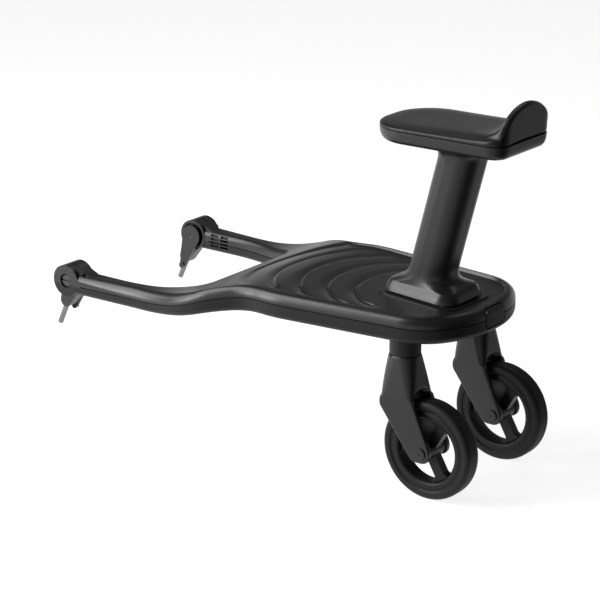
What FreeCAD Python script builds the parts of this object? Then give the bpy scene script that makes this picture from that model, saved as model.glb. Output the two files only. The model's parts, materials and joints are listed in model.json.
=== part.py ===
import FreeCAD, Part
import math
import os

V = FreeCAD.Vector

# Frame: +X runs forward to the pushchair, +Y to the left, +Z up. While the pieces are made,
# X = 0 is over the wheel axles, and at the end everything shifts to the middle of the length.

# Wheels and casters, millimetres
WHEEL_DIAMETER = 140.0
TYRE_WIDTH = 28.0
TYRE_HEIGHT = 13.0
TYRE_SHOULDER = 7.0
TREAD_GROOVE = 1.2
RIM_WIDTH = 23.0
RIM_DEPTH = 12.0
RIM_HOLLOW = 4.0
WHEEL_HUB_DIAMETER = 24.0
WHEEL_HUB_WIDTH = 34.0
SPOKE_COUNT = 3
SPOKE_WIDTH = 15.0
SPOKE_FLARE = 4.0
SPOKE_THICKNESS = 13.0
TRACK_IN = 53.0
TRAIL = 44.0
AXLE_DIAMETER = 8.0
BUSH_WALL = 2.0
BUSH_FLANGE = 1.2
CAP_DIAMETER = 16.0
CAP_THICKNESS = 2.1
CAP_DIMPLE = 2.4
LEG_THICKNESS = 8.0
LEG_END_RADIUS = 14.0
TYRE_CLEARANCE = 5.0
CROWN_HEIGHT = 53.0
FORK_SHOULDER = 26.0
FORK_EDGE = 3.0
ARCH_RISE = 6.0
STEM_DIAMETER = 14.0
COLLAR_DIAMETER = 43.0
COLLAR_HEIGHT = 21.7
SWIVEL_WASHER = 0.8
SWIVEL_BUSH = 12.0

# Deck and arms
DECK_THICKNESS = 37.0
ARM_THICKNESS = 31.0
PARTING_DEPTH = 16.0
WALL = 3.0
DISH_DEPTH = 4.5
DISH_INSET = 22.0
TOP_EDGE = 8.0
BOTTOM_EDGE = 10.0
DECK_REAR = 42.0
DECK_HALF_WIDTH = 142.0
REAR_IN = 98.0
CORNER_AHEAD = 39.0
CORNER_IN = 26.0
WIDE_AHEAD = 238.0
WAIST_AHEAD = 48.0
WAIST_IN = 6.0
ARM_BOW_AHEAD = 82.0
ARM_BOW_OUT = 8.0
ARM_SET_AHEAD = 75.0
ARM_OUT = 15.0
ARM_WIDTH = 30.0
ARM_LENGTH = 153.0
OPENING_AHEAD = 16.0
OPENING_CORNER_IN = 30.0
ARM_INNER_SET_AHEAD = 89.0
ARM_DROP = 37.0
RAMP_BEFORE_WAIST = 35.0
RAMP_LENGTH = 212.0
RIPPLE_COUNT = 5
RIPPLE_BEHIND_OPENING = 37.0
RIPPLE_PITCH = 43.0
RIPPLE_RADIUS_OVER = 10.0
RIPPLE_RADIUS_STEP = 16.5
RIPPLE_HEIGHT = 2.6
RIPPLE_FRONT_FOOT = 5.0
RIPPLE_REAR_FOOT = 11.0
RIPPLE_END_INSET = 31.0
BOSS_DIAMETER = 11.0
SCREW_DIAMETER = 4.0
SCREW_HEAD_DIAMETER = 7.4
SCREW_HEAD_HEIGHT = 2.6
SCREW_BITE = 8.0
VENT_LENGTH = 15.0
VENT_HEIGHT = 3.0
VENT_PITCH = 5.4
VENT_ROWS = 4
VENT_COLUMNS = 2
VENT_GAP = 4.0
VENT_BEHIND = 12.0

# Arm hubs and couplings
HUB_DIAMETER = 47.0
HUB_PROUD = 5.0
HUB_DROP = 10.5
HUB_WIDTH = 16.0
HUB_RECESS_DIAMETER = 21.0
HUB_RECESS_DEPTH = 7.0
GUSSET_LENGTH = 54.0
DRUM_DIAMETER = 47.0
DRUM_WIDTH = 19.0
DRUM_HOLLOW_DEPTH = 6.5
DRUM_RING = 4.0
NOSE_LENGTH = 42.0
NOSE_END_RADIUS = 9.5
NOSE_ROOT_RADIUS = 19.0
PIN_DIAMETER = 8.0
PIN_REACH = 85.0
PIN_ROOT = 24.0
PIN_ROOT_DIAMETER = 6.0
PIN_OUT = 1.5
PIN_TIP_CHAMFER = 1.0
PIN_LEAN_DEG = 25.0
PIVOT_DIAMETER = 12.0
PIVOT_HEAD_HEIGHT = 5.0
PIVOT_END_DIAMETER = 8.0
NUT_DIAMETER = 18.0
NUT_HEIGHT = 5.0
LEVER_HEAD_RADIUS = 16.5
LEVER_LENGTH = 54.0
LEVER_TIP_RADIUS = 4.6
LEVER_THICKNESS = 4.5
LEVER_LEAN_DEG = 20.0
LEVER_DIMPLE_RADIUS = 9.0
LEVER_DIMPLE_DEPTH = 0.8

# Seat post, receiver and saddle
FOOT_REAR_X = 1.0
FOOT_FRONT_X = 128.0
FOOT_REAR_HALF_WIDTH = 50.0
FOOT_FRONT_HALF_WIDTH = 31.0
FOOT_CORNER = 17.0
FOOT_GAP = 4.5
SKIRT_HEIGHT = 13.0
SKIRT_SLOPE = 7.0
FLARE_HEIGHT = 30.0
POST_LENGTH = 60.0
POST_WIDTH = 58.0
POST_CORNER = 17.0
POST_HEIGHT = 215.6
POST_BASE_X = 68.4
POST_LEAN_DEG = 14.8
POST_TOP_FLARE = 12.0
POST_TOP_FLARE_HEIGHT = 20.0
POST_WALL = 5.0
SPIGOT_LENGTH = 52.0
SPIGOT_WIDTH = 34.0
SPIGOT_DEPTH = 20.0
SPIGOT_CORNER = 6.0
CUP_WALL = 3.0
RECEIVER_RIM = 7.0
RECEIVER_RIM_HEIGHT = 1.6
SADDLE_SHELL_HEIGHT = 19.0
SADDLE_FRONT_X = 133.0
SADDLE_REAR_X = 82.0
SADDLE_HALF_WIDTH = 68.0
SADDLE_REAR_HALF_WIDTH = 64.0
SADDLE_FRONT_CORNER = 57.0
SADDLE_REAR_CORNER = 34.0
SADDLE_TUCK = 11.0
PAD_FRONT_HEIGHT = 2.5
PAD_REAR_HEIGHT = 11.0
PAD_DRAW_IN = 2.0
PAD_CROWN = 24.0
HEEL_HEIGHT = 9.0
HEEL_LENGTH = 30.0
HORN_HEIGHT = 51.0
HORN_WIDTH = 102.0
HORN_THICKNESS = 13.5
HORN_SWEEP = 32.0
HORN_ROUND = 43.0
HORN_LEAN = 4.0
HORN_EDGE = 5.5

# Seat release
BUTTON_WIDTH = 44.0
BUTTON_HEIGHT = 24.0
BUTTON_DEPTH = 12.0
BUTTON_CORNER = 6.0
BUTTON_TOP_DEPTH = 3.0
BUTTON_TRAVEL = 5.0
LATCH_THICKNESS = 4.0
LATCH_BAR = 6.0
LATCH_TOOTH_WIDTH = 14.0
LATCH_BITE = 3.0
LATCH_ROD_WIDTH = 12.0
SPRING_LENGTH = 20.0
SPRING_RADIUS = 4.0
SPRING_WIRE = 0.9
SPRING_TURNS = 5
STOP_THICKNESS = 4.0

# Clearances
RUN = 0.05
PRESS = 0.02
SLIDE = 0.35
FACE = 0.1

# Heights and places that follow from the sizes above
WHEEL_RADIUS = WHEEL_DIAMETER / 2
SWIVEL_Z = WHEEL_DIAMETER + TYRE_CLEARANCE + CROWN_HEIGHT
COLLAR_Z = SWIVEL_Z + SWIVEL_WASHER
DECK_BOTTOM = COLLAR_Z + COLLAR_HEIGHT
DECK_TOP = DECK_BOTTOM + DECK_THICKNESS
ARM_TOP = DECK_TOP - ARM_DROP
ARM_BOTTOM = ARM_TOP - ARM_THICKNESS
CORNER_X = CORNER_AHEAD - DECK_REAR
DECK_WIDE_X = CORNER_X + WIDE_AHEAD
WAIST_X = DECK_WIDE_X + WAIST_AHEAD
ARM_BOW_X = WAIST_X + ARM_BOW_AHEAD
ARM_SET_X = ARM_BOW_X + ARM_SET_AHEAD
HUB_X = ARM_SET_X + ARM_LENGTH
OPENING_X = ARM_BOW_X + OPENING_AHEAD
ARM_INNER_SET_X = OPENING_X + ARM_INNER_SET_AHEAD
RAMP_START = WAIST_X - RAMP_BEFORE_WAIST
ARM_HALF_WIDTH = DECK_HALF_WIDTH + ARM_OUT
ARM_INNER_Y = ARM_HALF_WIDTH - ARM_WIDTH
OPENING_HALF_WIDTH = ARM_INNER_Y - OPENING_CORNER_IN
CORNER_HALF_WIDTH = DECK_HALF_WIDTH - CORNER_IN
WHEEL_TRACK = 2 * (DECK_HALF_WIDTH - TRACK_IN)
RIPPLE_FRONT = OPENING_X - RIPPLE_BEHIND_OPENING
RIPPLE_RADIUS = DECK_HALF_WIDTH + RIPPLE_RADIUS_OVER
CEILING_DEPTH = DISH_DEPTH + WALL
RIM_RADIUS = WHEEL_RADIUS - TYRE_HEIGHT
LEG_INNER = WHEEL_HUB_WIDTH / 2 + BUSH_FLANGE + SLIDE
LEG_OUTER = LEG_INNER + LEG_THICKNESS
HUB_RADIUS = HUB_DIAMETER / 2
HUB_Z = ARM_TOP - HUB_DROP
HUB_FACE_Y = ARM_HALF_WIDTH + HUB_PROUD
HUB_INNER_Y = HUB_FACE_Y - HUB_WIDTH
DRUM_OUTER_Y = HUB_INNER_Y - SLIDE
DRUM_INNER_Y = DRUM_OUTER_Y - DRUM_WIDTH
LEVER_OUTER_Y = DRUM_INNER_Y - SLIDE
FOOT_Z = DECK_TOP - DISH_DEPTH + FOOT_GAP
POST_Z = FOOT_Z + SKIRT_HEIGHT + FLARE_HEIGHT
SADDLE_BASE_Z = FOOT_Z + POST_HEIGHT
SADDLE_TOP_Z = SADDLE_BASE_Z + SADDLE_SHELL_HEIGHT
SEAT_X = (FOOT_REAR_X + FOOT_FRONT_X) / 2
CUP_LENGTH = SPIGOT_LENGTH + 2 * (SLIDE + CUP_WALL)
CUP_WIDTH = SPIGOT_WIDTH + 2 * (SLIDE + CUP_WALL)
SPIGOT_Z = FOOT_Z - SPIGOT_DEPTH
LATCH_Z = SPIGOT_Z + LATCH_THICKNESS
WIDE = 2 * ARM_HALF_WIDTH
LONG = 2 * HUB_X


def box(x0, x1, y0, y1, z0, z1):
    return Part.makeBox(x1 - x0, y1 - y0, z1 - z0, V(x0, y0, z0))


def cylinder(radius, start, end):
    axis = end - start
    return Part.makeCylinder(radius, axis.Length, start, axis)


def ring(outer, inner, start, end):
    return cylinder(outer, start, end).cut(cylinder(inner, start, end))


def fuse(shapes):
    return shapes[0].multiFuse(shapes[1:]).removeSplitter()


def mirrored(points):
    """A loop given for its +Y half, closed by its mirror image."""
    return points + [(x, -y, r) for x, y, r in reversed(points)]


def inset_loop(points, inset):
    """Moves each side of a loop inwards and keeps its arcs concentric."""
    area = sum(a[0] * b[1] - b[0] * a[1] for a, b in zip(points, points[1:] + points[:1]))
    side = 1.0 if area > 0 else -1.0
    moved = []
    for i, (x, y, r) in enumerate(points):
        before = V(*points[i - 1][:2], 0)
        here = V(x, y, 0)
        after = V(*points[(i + 1) % len(points)][:2], 0)
        first = (here - before).normalize()
        second = (after - here).normalize()
        normal = (V(-first.y, first.x, 0) + V(-second.y, second.x, 0)) * side
        normal = normal * (inset / (normal.Length ** 2 / 2))
        turn = side * (first.x * second.y - first.y * second.x)
        radius = r - inset if turn > 0 else r + inset
        moved.append((x + normal.x, y + normal.y, max(radius, 0.5)))
    return moved


def rounded_edges(points, place):
    """Straight runs and tangent arcs round a loop of (x, y, corner radius)."""
    count = len(points)
    tangents = []
    for i, (x, y, r) in enumerate(points):
        here = V(x, y, 0)
        back = (V(*points[i - 1][:2], 0) - here).normalize()
        ahead = (V(*points[(i + 1) % count][:2], 0) - here).normalize()
        half = back.getAngle(ahead) / 2
        reach = r / math.tan(half)
        centre = here + (back + ahead).normalize() * (r / math.sin(half))
        middle = centre + (here - centre).normalize() * r
        tangents.append((here + back * reach, middle, here + ahead * reach))
    edges = []
    for i, (start, middle, end) in enumerate(tangents):
        previous = tangents[i - 1][2]
        if (start - previous).Length > 1e-4:
            edges.append(Part.LineSegment(place(previous), place(start)).toShape())
        edges.append(Part.Arc(place(start), place(middle), place(end)).toShape())
    return edges


def level_wire(points, z, slope=0.0):
    """A rounded loop at height z, or climbing backwards by a slope from that height at x = 0."""
    return Part.Wire(rounded_edges(points, lambda p: V(p.x, p.y, z - slope * p.x)))


def level_prism(points, z0, z1):
    return Part.Face(level_wire(points, z0)).extrude(V(0, 0, z1 - z0))


def side_prism(points, y0, y1):
    """A rounded loop of (x, z, radius) carried across from y0 to y1."""
    wire = Part.Wire(rounded_edges(points, lambda p: V(p.x, y0, p.y)))
    return Part.Face(wire).extrude(V(0, y1 - y0, 0))


def side_polygon(points, y0, y1):
    corners = [V(x, y0, z) for x, z in points]
    return Part.Face(Part.makePolygon(corners + corners[:1])).extrude(V(0, y1 - y0, 0))


def oblong(cx, half_x, half_y, corner):
    """A rectangle with rounded corners, centred on y = 0."""
    rear = cx - half_x
    front = cx + half_x
    corners = ((rear, half_y), (rear, -half_y), (front, -half_y), (front, half_y))
    return [(x, y, corner) for x, y in corners]


def blend(first, second, share):
    return [tuple(a + (b - a) * share for a, b in zip(p, q)) for p, q in zip(first, second)]


def loft(sections, ruled):
    wires = [level_wire(points, z) for points, z in sections]
    return Part.makeLoft(wires, True, ruled)


def revolved(profile, centre, axis):
    """A closed profile of corner points turned once about an axis."""
    face = Part.Face(Part.makePolygon(profile + profile[:1]))
    return face.revolve(centre, axis, 360)


def tapered_plate(x0, z0, r0, x1, z1, r1, y0, y1):
    """Two discs and the common tangents between them, as a plate between y0 and y1."""
    span = math.hypot(x1 - x0, z1 - z0)
    heading = math.atan2(z1 - z0, x1 - x0)
    swing = math.acos((r0 - r1) / span)
    corners = []
    for x, z, r, sign in ((x0, z0, r0, 1), (x1, z1, r1, 1), (x1, z1, r1, -1), (x0, z0, r0, -1)):
        angle = heading + sign * swing
        corners.append((x + r * math.cos(angle), z + r * math.sin(angle)))
    discs = [cylinder(r, V(x, y0, z), V(x, y1, z)) for x, z, r in ((x0, z0, r0), (x1, z1, r1))]
    return fuse([side_polygon(corners, y0, y1)] + discs)


def screw(x, y, z, length):
    """A pan-head screw whose head's outer face is at z and whose shank runs up from it."""
    seat = z + SCREW_HEAD_HEIGHT
    head = cylinder(SCREW_HEAD_DIAMETER / 2, V(x, y, z), V(x, y, seat))
    shank = cylinder(SCREW_DIAMETER / 2, V(x, y, seat), V(x, y, z + length))
    return head.fuse(shank)


def screw_hole(x, y, z, length, outward=DECK_THICKNESS):
    """The seat and clearance hole of one screw, open outwards past its head."""
    seat = z + SCREW_HEAD_HEIGHT
    head = cylinder(SCREW_HEAD_DIAMETER / 2 + RUN, V(x, y, z - outward), V(x, y, seat))
    shank = cylinder(SCREW_DIAMETER / 2 + RUN, V(x, y, seat), V(x, y, z + length + FACE))
    return head.fuse(shank)


# Deck form: a plan outline crossed with a side profile that steps down to the arms


def soft_loop(points):
    """Turns (x, y, share) into (x, y, radius): each corner is rounded over a share of its shorter side."""
    loop = []
    for i, (x, y, share) in enumerate(points):
        here = V(x, y, 0)
        back = V(*points[i - 1][:2], 0) - here
        ahead = V(*points[(i + 1) % len(points)][:2], 0) - here
        half = back.getAngle(ahead) / 2
        loop.append((x, y, share * min(back.Length, ahead.Length) * math.tan(half)))
    return loop


def deck_loop(end_x):
    half = [
        (OPENING_X, OPENING_HALF_WIDTH, 0.17),
        (ARM_INNER_SET_X, ARM_INNER_Y, 0.45),
        (end_x, ARM_INNER_Y, 0.01),
        (end_x, ARM_HALF_WIDTH, 0.01),
        (ARM_SET_X, ARM_HALF_WIDTH, 0.45),
        (ARM_BOW_X, ARM_HALF_WIDTH + ARM_BOW_OUT, 0.45),
        (WAIST_X, DECK_HALF_WIDTH - WAIST_IN, 0.45),
        (DECK_WIDE_X, DECK_HALF_WIDTH, 0.45),
        (CORNER_X, CORNER_HALF_WIDTH, 0.5),
        (-DECK_REAR, DECK_HALF_WIDTH - REAR_IN, 0.45),
    ]
    return soft_loop(mirrored(half))


def drop_at(x, arm_deeper=0.0):
    """How far a line along the side has come down at x: two equal arcs from deck level to arm level."""
    half = RAMP_LENGTH / 2
    total = ARM_DROP + arm_deeper
    radius = (half ** 2 + (total / 2) ** 2) / total
    along = min(max(x - RAMP_START, 0), RAMP_LENGTH)
    if along <= half:
        return radius - math.sqrt(radius ** 2 - along ** 2)
    left = RAMP_LENGTH - along
    return total - (radius - math.sqrt(radius ** 2 - left ** 2))


def bottom_at(x):
    return DECK_BOTTOM - drop_at(x, ARM_THICKNESS - DECK_THICKNESS)


def profile_edges(depth, arm_deeper, y):
    def at(x):
        return V(x, y, DECK_TOP - drop_at(x, arm_deeper) - depth)

    half = RAMP_START + RAMP_LENGTH / 2
    end = RAMP_START + RAMP_LENGTH
    return [
        Part.LineSegment(at(-LONG), at(RAMP_START)).toShape(),
        Part.Arc(at(RAMP_START), at((RAMP_START + half) / 2), at(half)).toShape(),
        Part.Arc(at(half), at((half + end) / 2), at(end)).toShape(),
        Part.LineSegment(at(end), at(LONG)).toShape(),
    ]


def profile_band(upper, lower, arm_deeper=0.0):
    """All the space between two depths below the deck's top line, right across."""
    edges = profile_edges(upper, 0.0, -WIDE)
    edges += profile_edges(lower, arm_deeper, -WIDE)
    for x in (-LONG, LONG):
        high = DECK_TOP - drop_at(x) - upper
        low = DECK_TOP - drop_at(x, arm_deeper) - lower
        edges.append(Part.LineSegment(V(x, -WIDE, high), V(x, -WIDE, low)).toShape())
    wire = Part.Wire(Part.sortEdges(edges)[0])
    return Part.Face(wire).extrude(V(0, 2 * WIDE, 0))


def rim_edges(shape, height_at):
    """The edges round the plan outline at one height, without the seams across the ramp."""
    seams = [RAMP_START + RAMP_LENGTH * share for share in (0, 0.5, 1)]
    found = []
    for edge in shape.Edges:
        middle = edge.valueAt((edge.FirstParameter + edge.LastParameter) / 2)
        level = abs(middle.z - height_at(middle.x)) < 1e-3
        across = any(abs(v.X - seam) < 1e-3 for seam in seams for v in edge.Vertexes)
        across = across and abs(edge.Vertexes[0].X - edge.Vertexes[-1].X) < 1e-3
        if level and not across:
            found.append(edge)
    return found


def deck_form():
    block = level_prism(deck_loop(HUB_X), ARM_BOTTOM - WALL, DECK_TOP + WALL)
    form = block.common(profile_band(0, DECK_THICKNESS, ARM_THICKNESS - DECK_THICKNESS))
    form = form.makeFillet(TOP_EDGE, rim_edges(form, lambda x: DECK_TOP - drop_at(x)))
    return form.makeFillet(BOTTOM_EDGE, rim_edges(form, bottom_at))


def dish():
    """The shallow tread well: inside the rim, and behind the front ripple's arc."""
    rear = level_prism(inset_loop(deck_loop(HUB_X), DISH_INSET), ARM_BOTTOM, DECK_TOP + WALL)
    centre = RIPPLE_FRONT - RIPPLE_RADIUS
    front = cylinder(RIPPLE_RADIUS, V(centre, 0, ARM_BOTTOM), V(centre, 0, DECK_TOP + WALL))
    front = front.fuse(box(-LONG, centre, -WIDE, WIDE, ARM_BOTTOM, DECK_TOP + WALL))
    return rear.common(front).common(profile_band(-DECK_THICKNESS, DISH_DEPTH))


def ripples():
    """Crescent ridges with a steep front and a long hollow back, each turned about its own centre."""
    floor = DECK_TOP - DISH_DEPTH
    limit = level_prism(inset_loop(deck_loop(HUB_X), RIPPLE_END_INSET), floor - 5, DECK_TOP)
    ridges = []
    for k in range(1, RIPPLE_COUNT):
        radius = RIPPLE_RADIUS - k * RIPPLE_RADIUS_STEP
        centre = V(RIPPLE_FRONT - k * RIPPLE_PITCH - radius, 0, 0)
        profile = [
            centre + V(radius + RIPPLE_FRONT_FOOT, 0, floor - DISH_DEPTH / 2),
            centre + V(radius + RIPPLE_FRONT_FOOT, 0, floor),
            centre + V(radius, 0, floor + RIPPLE_HEIGHT),
            centre + V(radius - RIPPLE_REAR_FOOT / 2, 0, floor + RIPPLE_HEIGHT / 3),
            centre + V(radius - RIPPLE_REAR_FOOT, 0, floor),
            centre + V(radius - RIPPLE_REAR_FOOT, 0, floor - DISH_DEPTH / 2),
        ]
        turned = revolved(profile, centre, V(0, 0, 1))
        ahead = box(centre.x, LONG, -WIDE, WIDE, floor - 5, DECK_TOP)
        ridges.append(turned.common(ahead).common(limit))
    return ridges


def screw_places():
    arm_middle = ARM_INNER_Y + ARM_WIDTH / 2
    side = DECK_HALF_WIDTH - TOP_EDGE - WALL - BOSS_DIAMETER
    half = [
        (CORNER_X, CORNER_HALF_WIDTH / 2),
        (DECK_WIDE_X / 2, side - BOSS_DIAMETER),
        (DECK_WIDE_X, side),
        (OPENING_X - 2 * BOSS_DIAMETER, OPENING_HALF_WIDTH),
        (ARM_INNER_SET_X, arm_middle),
    ]
    return [(x, s * y) for x, y in half for s in (1, -1)]


def cavity():
    """The hollow between the two shells, with a solid column left round each screw."""
    room = level_prism(inset_loop(deck_loop(HUB_X - GUSSET_LENGTH), WALL), ARM_BOTTOM, DECK_TOP)
    room = room.common(profile_band(CEILING_DEPTH, DECK_THICKNESS - WALL, ARM_THICKNESS - DECK_THICKNESS))
    columns = []
    for x, y in screw_places():
        columns.append(cylinder(BOSS_DIAMETER / 2, V(x, y, ARM_BOTTOM), V(x, y, DECK_TOP)))
    return room.cut(Part.makeCompound(columns))


def vents(side):
    rows = [HUB_Z - DRUM_DIAMETER / 4 + VENT_PITCH * k for k in range(VENT_ROWS)]
    start = HUB_X - DRUM_DIAMETER / 2 - VENT_BEHIND
    slots = []
    for column in range(VENT_COLUMNS):
        front = start - column * (VENT_LENGTH + VENT_GAP)
        for z in rows:
            y0, y1 = sorted((side * (ARM_INNER_Y - WALL), side * (ARM_INNER_Y + WALL / 2)))
            slots.append(box(front - VENT_LENGTH, front, y0, y1, z, z + VENT_HEIGHT))
    return Part.makeCompound(slots)


def arm_hub(side):
    """The round end of one arm, with the gusset that runs up to it from the arm's top."""
    y0, y1 = sorted((side * HUB_INNER_Y, side * HUB_FACE_Y))
    hub = cylinder(HUB_RADIUS, V(HUB_X, y0, HUB_Z), V(HUB_X, y1, HUB_Z))
    tail = HUB_X - GUSSET_LENGTH
    root = ARM_TOP - TOP_EDGE
    inner = side * (ARM_INNER_Y + TOP_EDGE / 2)
    outer = side * (ARM_HALF_WIDTH - TOP_EDGE / 2)
    span = math.hypot(HUB_X - tail, HUB_Z - root)
    lift = math.atan2(HUB_Z - root, HUB_X - tail)
    touch = lift + math.asin(HUB_RADIUS / span) + math.pi / 2
    top = (HUB_X + HUB_RADIUS * math.cos(touch), HUB_Z + HUB_RADIUS * math.sin(touch))
    corners = [(tail, root), top, (HUB_X, HUB_Z)]
    gusset = side_polygon(corners, *sorted((inner, outer)))
    return hub, gusset


def hub_cuts(side):
    """The drum's pocket on the inner side, and the pivot's bore and head recess."""
    def at(y):
        return V(HUB_X, side * y, HUB_Z)

    far_inside = ARM_INNER_Y - DRUM_WIDTH
    pocket = cylinder(DRUM_DIAMETER / 2 + 2 * SLIDE, at(far_inside), at(HUB_INNER_Y))
    bore = cylinder(PIVOT_DIAMETER / 2 + PRESS, at(far_inside), at(HUB_FACE_Y))
    recess = cylinder(HUB_RECESS_DIAMETER / 2, at(HUB_FACE_Y - HUB_RECESS_DEPTH), at(HUB_FACE_Y))
    return pocket.fuse(bore).fuse(recess)


def button_block(grow, depth):
    """The release button's opening in the rear rim, cut square through the deck form."""
    top = DECK_TOP - BUTTON_TOP_DEPTH
    middle = top - BUTTON_HEIGHT / 2
    half_width = BUTTON_WIDTH / 2 + grow
    half_height = BUTTON_HEIGHT / 2 + grow
    low = middle - half_height
    high = middle + half_height
    block = box(-2 * DECK_REAR, depth - DECK_REAR, -half_width, half_width, low, high)
    lengthwise = [e for e in block.Edges if abs(e.tangentAt(e.FirstParameter).x) > 0.9]
    return block.makeFillet(BUTTON_CORNER, lengthwise)


def stop_x():
    return SEAT_X + CUP_LENGTH / 2 + SLIDE + LATCH_BAR + SPRING_LENGTH + 2 * FACE


def lower_fittings():
    """Caster collars, the latch's two rails and the spring's stop, moulded on the lower shell."""
    floor = DECK_BOTTOM + WALL
    parts = []
    for side in (1, -1):
        y = side * WHEEL_TRACK / 2
        parts.append(cylinder(COLLAR_DIAMETER / 2, V(TRAIL, y, COLLAR_Z), V(TRAIL, y, floor)))
        parts.append(cylinder(STEM_DIAMETER, V(TRAIL, y, floor - 1), V(TRAIL, y, collar_top())))
    half = CUP_WIDTH / 2 + SLIDE + LATCH_BAR
    rear = SEAT_X - CUP_LENGTH / 2 - SLIDE - BUTTON_TRAVEL
    front = SEAT_X + CUP_LENGTH / 2 + SLIDE
    for x0 in (rear - LATCH_BAR, front + FACE):
        parts.append(box(x0, x0 + LATCH_BAR, -half, half, floor - 1, LATCH_Z - FACE))
    x0 = stop_x()
    stop_top = LATCH_Z + 2 * LATCH_THICKNESS
    parts.append(box(x0, x0 + STOP_THICKNESS, -LATCH_BAR, LATCH_BAR, floor - 1, stop_top))
    return parts


def collar_top():
    return DECK_TOP - CEILING_DEPTH - STEM_DIAMETER / 2


def shells():
    form = deck_form()
    outer = [form]
    for side in (1, -1):
        hub, gusset = arm_hub(side)
        outer += [hub, gusset]
    body = fuse(outer)
    for side in (1, -1):
        body = body.cut(hub_cuts(side)).cut(vents(side))
    body = body.cut(cavity()).cut(button_block(SLIDE, BUTTON_DEPTH + BUTTON_TRAVEL + SLIDE))
    upper = body.common(profile_band(-2 * DECK_THICKNESS, PARTING_DEPTH))
    lower = body.common(profile_band(PARTING_DEPTH, 3 * DECK_THICKNESS))
    upper = fuse([upper.cut(dish())] + ripples())
    cup = oblong(SEAT_X, CUP_LENGTH / 2 + FACE, CUP_WIDTH / 2 + FACE, SPIGOT_CORNER)
    upper = upper.cut(level_prism(cup, SPIGOT_Z, FOOT_Z))
    lower = fuse([lower] + lower_fittings())
    for side in (1, -1):
        y = side * WHEEL_TRACK / 2
        top = V(TRAIL, y, DECK_TOP)
        lower = lower.cut(cylinder(STEM_DIAMETER / 2 + BUSH_WALL + PRESS, V(TRAIL, y, COLLAR_Z - 1), top))
    holes = []
    for x, y in screw_places():
        holes.append(screw_hole(x, y, bottom_at(x), screw_length(x)))
    ceiling = DECK_TOP - CEILING_DEPTH
    for x, y in receiver_screw_places():
        holes.append(screw_hole(x, y, ceiling - SCREW_HEAD_HEIGHT, WALL + SCREW_HEAD_HEIGHT))
    holes = Part.makeCompound(holes)
    button = form.common(button_block(0, BUTTON_DEPTH))
    return upper.cut(holes), lower.cut(holes), button


def screw_length(x):
    return DECK_TOP - drop_at(x) - PARTING_DEPTH - bottom_at(x) + SCREW_BITE


def shell_screws():
    return Part.makeCompound([screw(x, y, bottom_at(x), screw_length(x)) for x, y in screw_places()])


# Seat receiver, release latch, post and saddle


def foot_loop(inset):
    half = [
        (FOOT_FRONT_X, FOOT_FRONT_HALF_WIDTH, FOOT_CORNER),
        (FOOT_REAR_X, FOOT_REAR_HALF_WIDTH, FOOT_CORNER),
    ]
    return inset_loop(mirrored(half), inset)


def receiver_screw_places():
    along = CUP_LENGTH / 2 + SCREW_HEAD_DIAMETER
    return [(SEAT_X + sx * along, sy * CUP_WIDTH / 2) for sx in (1, -1) for sy in (1, -1)]


def seat_receiver():
    floor = DECK_TOP - DISH_DEPTH
    plate = level_prism(foot_loop(-RECEIVER_RIM), floor, floor + RECEIVER_RIM_HEIGHT)
    plinth = level_prism(foot_loop(RECEIVER_RIM), floor, FOOT_Z)
    outside = oblong(SEAT_X, CUP_LENGTH / 2, CUP_WIDTH / 2, SPIGOT_CORNER)
    cup = level_prism(outside, SPIGOT_Z - CUP_WALL, FOOT_Z)
    body = fuse([plate, plinth, cup])
    inside = oblong(SEAT_X, SPIGOT_LENGTH / 2 + SLIDE, SPIGOT_WIDTH / 2 + SLIDE, SPIGOT_CORNER)
    body = body.cut(level_prism(inside, SPIGOT_Z, FOOT_Z))
    tooth = LATCH_TOOTH_WIDTH / 2 + SLIDE
    low = LATCH_Z - SLIDE
    high = LATCH_Z + LATCH_THICKNESS + SLIDE
    body = body.cut(box(SEAT_X, SEAT_X + CUP_LENGTH, -tooth, tooth, low, high))
    seat = DECK_TOP - CEILING_DEPTH - SCREW_HEAD_HEIGHT
    holes = [screw_hole(x, y, seat, CEILING_DEPTH) for x, y in receiver_screw_places()]
    return body.cut(Part.makeCompound(holes))


def receiver_screws():
    seat = DECK_TOP - CEILING_DEPTH - SCREW_HEAD_HEIGHT
    return Part.makeCompound([screw(x, y, seat, CEILING_DEPTH) for x, y in receiver_screw_places()])


def release_latch():
    """A sliding yoke round the receiver's cup: its front tooth holds the seat's spigot."""
    top = LATCH_Z + LATCH_THICKNESS
    half = CUP_WIDTH / 2 + SLIDE
    rear = SEAT_X - CUP_LENGTH / 2 - SLIDE - BUTTON_TRAVEL
    front = SEAT_X + CUP_LENGTH / 2 + SLIDE
    edge = half + LATCH_BAR
    plate = box(rear - LATCH_BAR, front + LATCH_BAR, -edge, edge, LATCH_Z, top)
    plate = plate.cut(box(rear, front, -half, half, LATCH_Z, top))
    bite = SEAT_X + SPIGOT_LENGTH / 2 - LATCH_BITE
    tooth = box(bite, front + 1, -LATCH_TOOTH_WIDTH / 2, LATCH_TOOTH_WIDTH / 2, LATCH_Z, top)
    button_face = BUTTON_DEPTH - DECK_REAR
    rod = box(button_face, rear - 1, -LATCH_ROD_WIDTH / 2, LATCH_ROD_WIDTH / 2, LATCH_Z, top)
    return fuse([plate, tooth, rod])


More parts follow.
